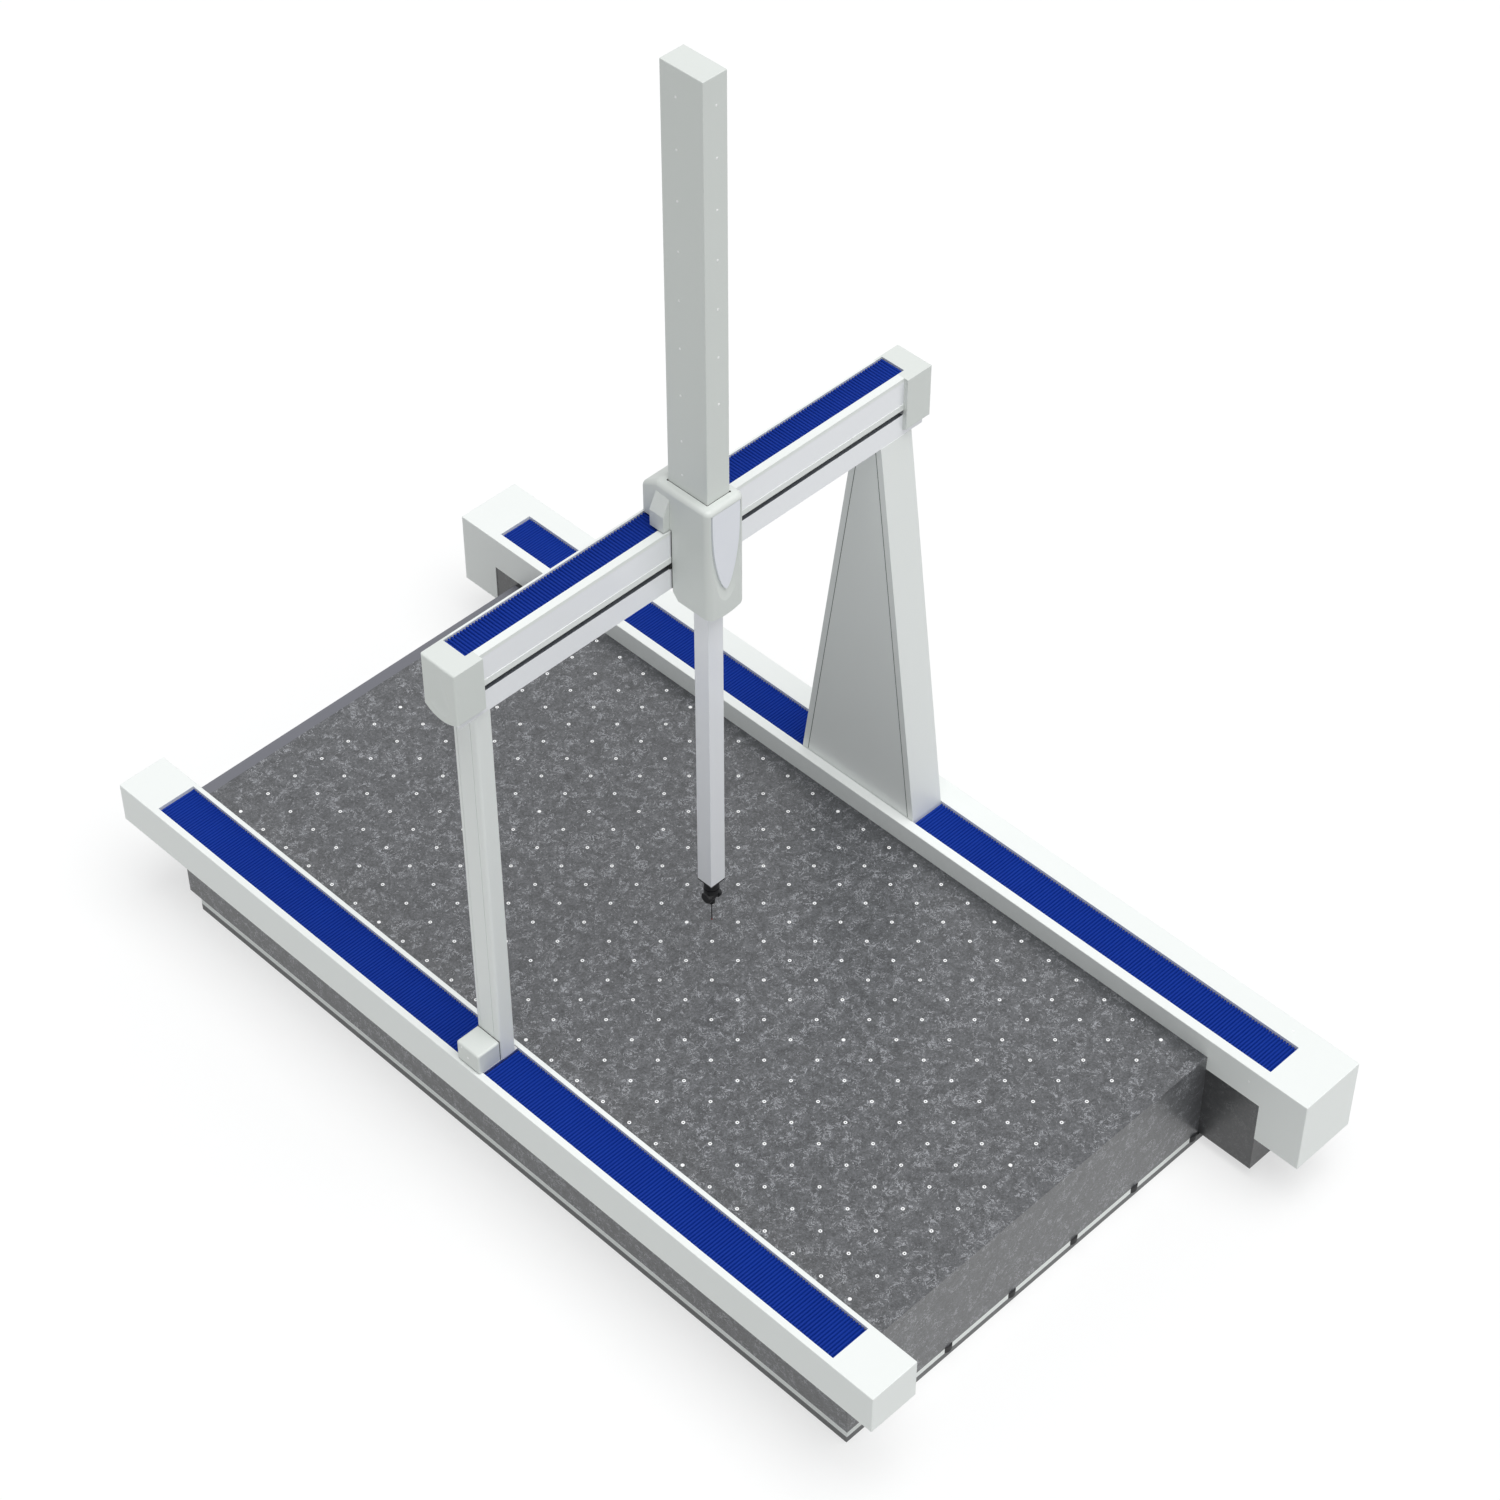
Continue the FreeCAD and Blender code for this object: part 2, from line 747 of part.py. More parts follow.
def make_y_drive():
    wheel_bottom = y_bar_bottom + (y_bar_height - drive_wheel_height) / 2
    wheel_top = wheel_bottom + drive_wheel_height
    motor_bottom = wheel_top + y_motor_gap
    body = upright(y_wheel_x, y_wheel_y, motor_bottom, plate_bottom, y_motor_radius)
    body = bevel(body, motor_bevel, lambda e: near(middle(e).z, motor_bottom))
    shaft = upright(y_wheel_x, y_wheel_y, wheel_bottom, motor_bottom, shaft_radius)
    save("y_drive_motor", join(body, shaft))
    centre = V(y_wheel_x, y_wheel_y, wheel_bottom)
    save("y_drive_wheel", drive_wheel(centre, V(0, 0, 1), drive_wheel_radius, drive_wheel_height))


def drive_wheel(centre, axis, radius, width):
    """A traction wheel: a rim with a hollow face and a hub round the shaft."""
    rim = Part.makeCylinder(radius, width, centre, axis)
    face = centre + axis * (width - wheel_hollow_depth)
    hollow = Part.makeCylinder(radius - wheel_rim, wheel_hollow_depth, face, axis)
    hub = Part.makeCylinder(wheel_hub_radius, width, centre, axis)
    bore = Part.makeCylinder(shaft_radius + shaft_clearance, width, centre, axis)
    return join(rim.cut(hollow), hub).cut(bore)


def trapezoid(inset, z_low, z_high):
    """Y, Z corners of the right leg's side, moved in by inset from its edges."""
    rise = beam_bottom - cover_top
    taper = (right_leg_foot - right_leg_head) / 2
    slope = taper / rise
    shift = inset * math.sqrt(1 + slope * slope)

    def half(z):
        return right_leg_foot / 2 - shift - slope * (z - cover_top)
    return [(-half(z_low), z_low), (half(z_low), z_low), (half(z_high), z_high), (-half(z_high), z_high)]


def make_right_leg():
    x0 = far_slot_in + right_leg_gap
    x1 = x0 + right_leg_width
    foot = block(x0, x1, -right_leg_foot / 2, right_leg_foot / 2, neck_top, cover_top)
    side = along_x(trapezoid(0, cover_top, beam_bottom), x0, x1)
    frame = join(foot, side)
    low = cover_top + leg_panel_margin
    high = beam_bottom - leg_panel_margin
    opening = leg_border + leg_rebate
    cell = (high - low - 2 * leg_rebate) / (leg_rib_count + 1)
    for i in range(leg_rib_count + 1):
        z0 = low + leg_rebate + i * cell + (leg_rib_thickness / 2 if i else 0)
        z1 = low + leg_rebate + (i + 1) * cell - (leg_rib_thickness / 2 if i < leg_rib_count else 0)
        frame = frame.cut(along_x(trapezoid(opening, z0, z1), x0, x1))
    recess = trapezoid(leg_border, low, high)
    frame = frame.cut(group([along_x(recess, x0, x0 + sheet), along_x(recess, x1 - sheet, x1)]))
    save("right_leg", frame)
    skin = trapezoid(leg_border + leg_panel_seam, low + leg_panel_seam, high - leg_panel_seam)
    save("right_leg_panels", group([along_x(skin, x0, x0 + sheet), along_x(skin, x1 - sheet, x1)]))


def make_left_leg():
    leg_near = slab_near + left_leg_inset
    leg_far = leg_near + left_leg_width
    half = left_leg_depth / 2
    foot_z = neck_top + left_seat_height
    leg = block(leg_near, leg_far, -half, half, foot_z, beam_bottom)
    leg = soften(leg, left_leg_radius, lambda e: runs_along(e, V(0, 0, 1)) and near(middle(e).x, leg_near))
    core = block(leg_near + left_leg_wall, leg_far - left_leg_wall, -half + left_leg_wall,
                 half - left_leg_wall, foot_z, beam_bottom)
    leg = leg.cut(core)
    for y in (left_groove_rear, left_groove_front):
        leg = leg.cut(block(leg_near, leg_near + left_groove_depth, y - left_groove_width / 2,
                            y + left_groove_width / 2, foot_z, beam_bottom))
    save("left_leg", leg)
    truck_half = left_truck_length / 2
    plate = block(slab_near + left_plate_near_gap, near_slot_in - ledge_width + left_plate_far_lap,
                  -truck_half, truck_half, plate_bottom, plate_top)
    plate = soften(plate, left_plate_radius, lambda e: runs_along(e, V(0, 0, 1)))
    neck_half = half - left_neck_end
    neck = block(near_slot_out + left_neck_gap, near_slot_in - left_neck_gap, -neck_half, neck_half,
                 plate_top, neck_top)
    seat_half = half - left_seat_gap
    seat = block(near_slot_out + left_seat_gap, near_slot_in - left_seat_gap, -seat_half, seat_half,
                 neck_top, foot_z)
    save("left_truck", join(plate, neck, seat))
    save("left_foot_cover", foot_cover(leg_near, foot_z))


def foot_cover(leg_near, foot_z):
    """The rounded cover over the foot of the slim leg, with its skirt in the slot."""
    cover_near = near_out + foot_cover_overhang
    low = cover_top + foot_cover_lift
    top = low + foot_cover_height
    depth = foot_cover_depth / 2
    wall = cover_wall
    shell = block(cover_near, leg_near, -depth, depth, low, top)
    shell = soften(shell, foot_cover_radius, lambda e: near(middle(e).x, cover_near)
                   or near(middle(e).z, top) and runs_along(e, V(1, 0, 0)))
    inside = block(cover_near + wall, leg_near, -depth + wall, depth - wall, low - wall, top - wall)
    inside = soften(inside, foot_cover_radius - wall, lambda e: near(middle(e).x, cover_near + wall)
                    and middle(e).z > low)
    skirt_near = near_slot_out + foot_skirt_gap
    skirt = block(skirt_near, leg_near, -depth, depth, foot_z, low)
    skirt = skirt.cut(block(skirt_near + wall, leg_near, -depth + wall, depth - wall, foot_z, low))
    floor_half = depth - foot_cover_radius
    floor = block(cover_near + foot_cover_radius, skirt_near + wall, -floor_half, floor_half, low, low + wall)
    return join(shell.cut(inside), skirt, floor)


def make_beam():
    outline = [(beam_front, beam_bottom), (beam_rear, beam_bottom), (beam_rear, beam_top),
               (trough_rear, beam_top), (trough_rear, trough_floor), (trough_front, trough_floor),
               (trough_front, beam_top), (beam_front, beam_top), (beam_front, slot_ceiling),
               (slot_back, slot_ceiling), (slot_back, slot_floor), (beam_front, slot_floor)]
    beam = along_x(outline, -beam_half, beam_half)
    low = (beam_bottom + beam_wall, slot_floor - beam_wall)
    high = (slot_ceiling + beam_slot_web, trough_floor - beam_wall)
    cells = [block(-beam_half, beam_half, beam_front + beam_wall, beam_rear - beam_wall, z0, z1)
             for z0, z1 in (low, high)]
    save("crossbeam", beam.cut(group(cells)))
    front = block(-cap_inner, cap_inner, beam_front, trough_front, beam_top, beam_cover_top)
    rear = block(-cap_inner, cap_inner, trough_rear, beam_rear + beam_cover_rear_overhang,
                 beam_top, beam_cover_top)
    lip = block(-cap_inner, cap_inner, beam_front - beam_trim_thickness, beam_front,
                slot_ceiling, slot_ceiling + beam_trim_height)
    save("beam_cover_strips", group([front, rear, lip]))
    scale_z = (slot_floor + slot_ceiling) / 2
    save("x_scale", block(-cap_inner, cap_inner, slot_back - scale_thickness, slot_back,
                          scale_z - x_scale_height / 2, scale_z + x_scale_height / 2))
    bar_half = cap_inner - x_bar_end_gap
    save("x_drive_bar", block(-bar_half, bar_half, beam_rear, beam_rear + x_bar_thickness,
                              x_bar_bottom, x_bar_bottom + x_bar_height))


def end_cap():
    """The moulded cap over the +X end of the beam, with a round belly."""
    belly = beam_cover_top - cap_belly_drop
    edge = belly + cap_belly_rise
    upper = Part.makePolygon([V(cap_inner, cap_rear, edge), V(cap_inner, cap_rear, beam_cover_top),
                              V(cap_inner, cap_front, beam_cover_top), V(cap_inner, cap_front, edge)])
    arc = Part.Arc(V(cap_inner, cap_front, edge), V(cap_inner, (cap_front + cap_rear) / 2, belly),
                   V(cap_inner, cap_rear, edge))
    side = Part.Face(Part.Wire(upper.Edges + [arc.toShape()]))
    body = side.extrude(V(cap_outer - cap_inner, 0, 0))
    return soften(body, cap_edge_radius, lambda e: near(middle(e).x, cap_outer))


def make_end_caps():
    wall = cap_wall
    low = beam_bottom - cap_skirt
    inside = block(cap_inner + wall, cap_outer - wall - scoop_depth, cap_front + wall, cap_rear - wall,
                   low, beam_top)
    inside = soften(inside, cap_edge_radius, lambda e: runs_along(e, V(0, 0, 1)) and middle(e).x > beam_half)
    section = block(cap_inner, beam_half, beam_front, beam_rear, low, beam_top)
    notch = block(cap_inner, cap_inner + cap_notch + bellows_gap, trough_front, trough_rear,
                  beam_top, beam_cover_top)
    cap = end_cap().cut(inside).cut(section).cut(notch)
    save("far_end_cap", cap)
    # A shallow scoop, deepest at its round foot, that fades out upwards.
    radius = (scoop_half * scoop_half + scoop_depth * scoop_depth) / (2 * scoop_depth)
    foot = V(cap_outer - scoop_depth + radius, 0, beam_bottom + scoop_rise_low)
    lean = V(scoop_depth, 0, scoop_length)
    scoop = Part.makeCylinder(radius, 2 * lean.Length, foot, lean)
    save("near_end_cap", mirror_x(cap.cut(join(scoop, Part.makeSphere(radius, foot)))))


def make_beam_bellows():
    top = beam_cover_top - beam_bellows_drop
    outer = cap_inner + cap_notch
    y0 = trough_front + bellows_gap
    y1 = trough_rear - bellows_gap
    z0 = trough_floor + bellows_gap
    reach = saddle_half + bellows_gap
    save("beam_bellows_near", block(-outer, carriage_x - reach, y0, y1, z0, top))
    save("beam_bellows_far", block(carriage_x + reach, outer, y0, y1, z0, top))




def cu(u):
    """X of a place that is u from the middle of the carriage."""
    return carriage_x + u


def make_carriage_frame():
    shelf_bottom = shelf_top - carriage_shelf_thickness
    tube = block(cu(-tube_half), cu(tube_half), tube_front, tube_back, tube_bottom, shelf_top)
    cavity = block(cu(-guide_cavity_half), cu(guide_cavity_half), spindle_y - guide_cavity_half,
                   spindle_y + guide_cavity_half, tube_bottom, shelf_top)
    shelf = block(cu(-tube_half), cu(tube_half), tube_back, column_back, shelf_bottom, shelf_top)
    plate = block(cu(-bearing_half), cu(bearing_half), tube_back, bridge_plate_wide_back,
                  bridge_plate_bottom, bridge_plate_top)
    tongue = block(cu(-rear_flange_half), cu(rear_flange_half), bridge_plate_wide_back, rear_flange_back,
                   bridge_plate_bottom, bridge_plate_top)
    webs = [block(cu(u), cu(u + carriage_web_thickness), tube_back, column_back,
                  bridge_plate_top, shelf_bottom)
            for u in (-bearing_half, bearing_half - carriage_web_thickness)]
    saddle = block(cu(-saddle_half), cu(saddle_half), trough_front + saddle_clearance,
                   trough_rear - saddle_clearance, trough_floor + air_gap + saddle_pad_thickness,
                   bridge_plate_bottom)
    step_top = beam_bottom + rear_step_rise
    step_bottom = step_top - rear_step_height
    wide_bottom = beam_bottom + rear_wide_rise
    flange = block(cu(-rear_flange_half), cu(rear_flange_half), rear_flange_front, rear_flange_back,
                   step_bottom, bridge_plate_bottom)
    step = block(cu(-bearing_half), cu(bearing_half), rear_flange_front, rear_plate_back,
                 step_bottom, step_top)
    wide = block(cu(-bearing_half), cu(bearing_half), rear_plate_front, rear_plate_back,
                 wide_bottom, step_top)
    narrow = block(cu(-bearing_half), cu(rear_narrow_u), rear_plate_front, rear_plate_back,
                   beam_bottom + rear_narrow_rise, wide_bottom)
    outer_shelf = block(cu(-bearing_half), cu(bearing_half), rear_plate_back, x_wheel_y + motor_shelf_half,
                        motor_shelf_bottom, motor_shelf_top)
    inner_shelf = block(cu(rear_narrow_u), cu(bearing_half), x_wheel_y - motor_shelf_half, rear_plate_back,
                        motor_shelf_bottom, motor_shelf_top)
    frame = join(tube, shelf, plate, tongue, *webs, saddle, flange, step, wide, narrow,
                 outer_shelf, inner_shelf)
    hole = upright(cu(x_wheel_u), x_wheel_y, motor_shelf_bottom, motor_shelf_top, motor_hole_radius)
    save("carriage_frame", frame.cut(cavity).cut(hole))
    head_z = (slot_floor + slot_ceiling) / 2
    head = block(cu(-x_readhead_half), cu(x_readhead_half), tube_back,
                 slot_back - scale_thickness - scale_read_gap, head_z - readhead_half_height,
                 head_z + readhead_half_height)
    save("x_readhead", head)


def make_carriage_bearings():
    pads = []
    for u in (-front_pad_u, front_pad_u):
        for rise in (front_pad_rise_high, front_pad_rise_low):
            pads.append(air_pad(V(cu(u), beam_front - air_gap, beam_bottom + rise), V(0, -1, 0),
                                front_pad_half, beam_front - air_gap - tube_back))
    for u in (-saddle_pad_u, saddle_pad_u):
        pads.append(air_pad(V(cu(u), (trough_front + trough_rear) / 2, trough_floor + air_gap),
                            V(0, 0, 1), saddle_pad_half, saddle_pad_thickness))
    for rise in (rear_pad_rise_high, rear_pad_rise_low):
        pads.append(air_pad(V(cu(rear_pad_u), beam_rear + air_gap, beam_bottom + rise), V(0, 1, 0),
                            rear_pad_half, rear_plate_front - beam_rear - air_gap))
    thickness = guide_cavity_half - spindle_half - air_gap
    reach = spindle_half + air_gap
    for z in (tube_bottom + guide_pad_low, tube_bottom + guide_pad_low + guide_pad_spacing):
        for dx, dy in ((1, 0), (-1, 0), (0, 1), (0, -1)):
            pads.append(air_pad(V(carriage_x + dx * reach, spindle_y + dy * reach, z), V(dx, dy, 0),
                                guide_pad_half, thickness))
    save("carriage_air_bearings", group(pads))


def spline_outline(half_points, y):
    """A closed outline in the plane y: a flat top and one curve round the tip."""
    right = [V(cu(u), y, housing_top - drop) for u, drop in half_points]
    left = [V(cu(-u), y, housing_top - drop) for u, drop in reversed(half_points[:-1])]
    curve = Part.BSplineCurve()
    curve.interpolate(right + left)
    return Part.Wire([curve.toShape(), Part.LineSegment(left[-1], right[0]).toShape()])


def housing_body(inset, front_inset):
    """The housing's outer form, moved in by inset, and by front_inset at the front."""
    half = housing_half - inset
    front = housing_front + front_inset
    top = housing_top - inset
    low = housing_bottom + inset
    plan = block(cu(-half), cu(half), front, housing_back, low, top)
    plan = soften(plan, housing_corner_radius - inset,
                  lambda e: runs_along(e, V(0, 0, 1)) and near(middle(e).y, front))
    sides = Part.makePolygon([V(cu(half), front, low + housing_arc), V(cu(half), front, top),
                              V(cu(-half), front, top), V(cu(-half), front, low + housing_arc)])
    sag = Part.Arc(V(cu(-half), front, low + housing_arc), V(cu(0), front, low),
                   V(cu(half), front, low + housing_arc))
    face = Part.Face(Part.Wire(sides.Edges + [sag.toShape()]))
    body = plan.common(face.extrude(V(0, housing_back - front, 0)))
    beam_side = beam_front - housing_beam_gap
    chamfer_front = beam_side - housing_chamfer_run
    chamfer_top = low + housing_arc + housing_chamfer_rise
    profile = [(front, low), (chamfer_front, low), (chamfer_front, low + housing_chamfer_foot),
               (beam_side, chamfer_top), (beam_side, rear_bottom), (housing_back, rear_bottom),
               (housing_back, top), (front, top)]
    body = body.common(along_x(profile, cu(-half), cu(half)))
    return soften(body, housing_top_radius - inset, lambda e: near(middle(e).z, top)
                  and middle(e).y < housing_back - 1.0)


def make_housing():
    outside = housing_body(0, 0)
    inside = housing_body(housing_wall, dish_depth + housing_wall)
    beam_side = beam_front - housing_beam_gap
    mouth_half = housing_half - housing_wall
    rear_mouth = block(cu(-mouth_half), cu(mouth_half), beam_side - housing_wall, beam_side,
                       housing_bottom + housing_arc + housing_mouth_sill, rear_bottom)
    under_mouth = block(cu(-mouth_half), cu(mouth_half), beam_side - housing_wall,
                        housing_back - housing_back_rim, rear_bottom, rear_bottom + housing_wall)
    hole_half = column_half + column_gap
    column_hole = block(cu(-hole_half), cu(hole_half), column_front - column_gap, housing_back,
                        shelf_top, housing_top)
    reach = spindle_half + spindle_hole_gap
    spindle_hole = block(cu(-reach), cu(reach), spindle_y - reach, spindle_y + reach,
                         housing_bottom, housing_bottom + housing_arc)
    floor_y = housing_front + dish_depth
    floor = [(u + dish_floor_spread, drop + dish_floor_drop) for u, drop in badge_half_outline]
    floor[0] = (floor[0][0], badge_half_outline[0][1] - dish_floor_spread)
    floor[-1] = (0.0, floor[-1][1])
    dish = Part.makeLoft([spline_outline(dish_half_outline, housing_front - badge_gap),
                          spline_outline(floor, floor_y)], True, True)
    openings = group([rear_mouth, under_mouth, column_hole, spindle_hole])
    save("carriage_housing", outside.cut(inside).cut(openings).cut(dish))
    badge = Part.Face(spline_outline(badge_half_outline, floor_y)).extrude(V(0, badge_gap - dish_depth, 0))
    save("badge_plate", badge)


def rear_cover_body(inset):
    """The rear cover's outer form, with the side bumps, moved in by inset."""
    side = housing_half - inset
    rear_side = crown_rear_half - inset
    back = crown_back - inset
    top = housing_top - inset
    crown = along_x([(housing_back, rear_bottom), (housing_back, top), (crown_slope_start, top),
                     (back, top - crown_drop), (back, rear_bottom)], cu(-side), cu(side))
    taper = along_z([(cu(-side), housing_back), (cu(side), housing_back), (cu(rear_side), back),
                     (cu(-rear_side), back)], rear_bottom, top)
    crown = crown.common(taper)
    crown = soften(crown, housing_top_radius - inset, lambda e: middle(e).z > top - crown_drop - 1.0
                   and middle(e).y > housing_back + 1.0 and abs(middle(e).x - carriage_x) > rear_side - 1.0
                   or near(middle(e).y, back) and near(middle(e).z, top - crown_drop))
    spine_reach = spine_back - inset
    spine_top = beam_cover_top + spine_rise - inset
    spine_low = beam_bottom + wrap_low_rise - inset
    spine = along_x([(rear_wrap_front, spine_low), (spine_reach, spine_low), (spine_reach, spine_top),
                     (spine_front, spine_top), (spine_front, rear_bottom), (rear_wrap_front, rear_bottom)],
                    cu(-spine_half + inset), cu(spine_half - inset))
    wrap_back = rear_plate_back + wrap_reach - inset
    wrap_bottom = beam_bottom - wrap_drop + inset
    wrap_low = beam_bottom + wrap_low_rise - inset
    wrap_high = beam_bottom + wrap_high_rise - inset
    wrap = along_x([(rear_wrap_front, wrap_bottom), (wrap_back, wrap_bottom), (wrap_back, wrap_low),
                    (spine_reach, wrap_high), (rear_wrap_front, wrap_high)],
                   cu(-rear_wrap_half + inset), cu(rear_wrap_half - inset))
    bump = side_bump(inset)
    return join(crown, spine, wrap, bump, bump.mirror(V(carriage_x, 0, 0), V(1, 0, 0)))


def side_bump(inset):
    """The bump on the +X side of the rear cover, with a sloping facet on top."""
    side = housing_half + bump_seam
    reach = bump_half - inset
    front = bump_front + inset
    rear = bump_rear - inset
    plan = [(cu(0), housing_back + inset), (cu(side), housing_back + inset), (cu(side), front),
            (cu(reach), front), (cu(reach), rear), (cu(0), rear)]
    slope_z = rear_bottom + bump_vertical - inset
    crest_z = rear_bottom + bump_height - inset
    facet = [(cu(0), rear_bottom), (cu(reach), rear_bottom), (cu(reach), slope_z),
             (cu(housing_half - inset), crest_z), (cu(0), crest_z)]
    return along_z(plan, rear_bottom, crest_z).common(along_y(facet, bump_front, bump_rear))


def make_rear_cover():
    wall = cover_wall
    wrap_half = rear_wrap_half - wall
    neck_half = spine_half - wall
    mouth_half = housing_half - wall - housing_back_rim
    hole_half = column_half + column_gap
    mouth = block(cu(-mouth_half), cu(mouth_half), housing_back, housing_back + wall,
                  rear_bottom, housing_top - housing_top_radius)
    wrap_mouth = block(cu(-wrap_half), cu(wrap_half), rear_wrap_front, rear_wrap_front + wall,
                       beam_bottom - wrap_drop + wall, beam_bottom + wrap_high_rise - wall)
    neck_mouth = block(cu(-neck_half), cu(neck_half), rear_wrap_front, rear_wrap_front + wall,
                       beam_bottom + wrap_low_rise, rear_bottom)
    column_hole = block(cu(-hole_half), cu(hole_half), housing_back, column_back + column_gap,
                        shelf_top, housing_top)
    openings = group([mouth, wrap_mouth, neck_mouth, column_hole])
    save("rear_cover", rear_cover_body(0).cut(rear_cover_body(wall)).cut(openings))


def make_column():
    wall = column_wall
    shell = block(cu(-column_half), cu(column_half), column_front, column_back, shelf_top, column_top)
    shell = soften(shell, column_edge_radius, lambda e: runs_along(e, V(0, 0, 1)))
    inside = block(cu(-column_half + wall), cu(column_half - wall), column_front + wall,
                   column_back - wall, shelf_top, column_top)
    save("column_cover", shell.cut(inside))
    cap = block(cu(-column_half), cu(column_half), column_front, column_back, column_top,
                column_top + column_cap_height)
    save("column_cap", soften(cap, column_edge_radius, lambda e: middle(e).z > column_top + column_gap))
    post_back = column_back - wall - post_back_gap
    post_front = post_back - post_thickness
    post = block(cu(-post_half), cu(post_half), post_front, post_back, shelf_top, post_top)
    lid = block(cu(-post_half), cu(post_half), column_front + wall + post_lid_setback, post_back,
                post_top - post_thickness, post_top)
    axis = V(1, 0, 0)
    wheel_y = spindle_y + spindle_half + rim_gap + spindle_wheel_radius
    wheel_z = shelf_top + spindle_drive_rise
    flange_near = spindle_wheel_width / 2 + spindle_flange_gap
    flange_far = flange_near + spindle_flange_thickness
    flange = block(cu(flange_near), cu(flange_far), wheel_y - spindle_flange_reach, post_front,
                   wheel_z - spindle_flange_half, wheel_z + spindle_flange_half)
    hole = Part.makeCylinder(motor_hole_radius, post_half, V(cu(0), wheel_y, wheel_z), axis)
    save("column_frame", join(post, lid, flange).cut(hole))
    motor = Part.makeCylinder(spindle_motor_radius, spindle_motor_length,
                              V(cu(flange_far), wheel_y, wheel_z), axis)
    motor = bevel(motor, motor_bevel, lambda e: near(middle(e).x, cu(flange_far + spindle_motor_length)))
    wheel_start = V(cu(-spindle_wheel_width / 2), wheel_y, wheel_z)
    shaft = Part.makeCylinder(shaft_radius, flange_far + spindle_wheel_width / 2, wheel_start, axis)
    save("z_drive_motor", join(motor, shaft))
    wheel_end = V(cu(spindle_wheel_width / 2), wheel_y, wheel_z)
    save("z_drive_wheel", drive_wheel(wheel_end, axis * -1, spindle_wheel_radius, spindle_wheel_width))


def make_x_drive():
    wheel_bottom = x_bar_bottom + (x_bar_height - drive_wheel_height) / 2
    x = cu(x_wheel_u)
    motor_bottom = motor_shelf_bottom - x_motor_length
    body = upright(x, x_wheel_y, motor_bottom, motor_shelf_bottom, x_motor_radius)
    body = bevel(body, motor_bevel, lambda e: near(middle(e).z, motor_bottom))
    shaft = upright(x, x_wheel_y, motor_shelf_bottom, wheel_bottom + drive_wheel_height, shaft_radius)
    save("x_drive_motor", join(body, shaft))
    save("x_drive_wheel", drive_wheel(V(x, x_wheel_y, wheel_bottom), V(0, 0, 1), drive_wheel_radius,
                                      drive_wheel_height))


def make_spindle():
    tube = block(cu(-spindle_half), cu(spindle_half), spindle_y - spindle_half, spindle_y + spindle_half,
                 spindle_bottom, spindle_top)
    tube = soften(tube, spindle_edge_radius, lambda e: runs_along(e, V(0, 0, 1)))
    inner = spindle_half - spindle_wall
    tube = tube.cut(block(cu(-inner), cu(inner), spindle_y - inner, spindle_y + inner,
                          spindle_bottom, spindle_top))
    save("spindle_tube", tube)
    save("spindle_plate", block(cu(-spindle_half), cu(spindle_half), spindle_y - spindle_half,
                                spindle_y + spindle_half, mount_top, spindle_bottom))
    piston_top = spindle_top - gland_thickness - spindle_down - piston_margin
    piston_bottom = piston_top - piston_height
    bore = piston_radius + piston_clearance
    bore_floor = piston_bottom - spindle_up - piston_margin
    piston = upright(cu(0), spindle_y, piston_bottom, piston_top, piston_radius)
    rod = upright(cu(0), spindle_y, piston_top, post_top - post_thickness, rod_radius)
    save("counterbalance_rod", join(piston, rod))
    barrel = upright(cu(0), spindle_y, bore_floor - piston_margin, spindle_top, bore + cylinder_wall)
    gland = block(cu(-inner), cu(inner), spindle_y - inner, spindle_y + inner,
                  spindle_top - gland_thickness, spindle_top)
    chamber = upright(cu(0), spindle_y, bore_floor, spindle_top - gland_thickness, bore)
    throat = upright(cu(0), spindle_y, spindle_top - gland_thickness, spindle_top,
                     rod_radius + gland_clearance)
    save("counterbalance_cylinder", join(barrel, gland).cut(chamber).cut(throat))


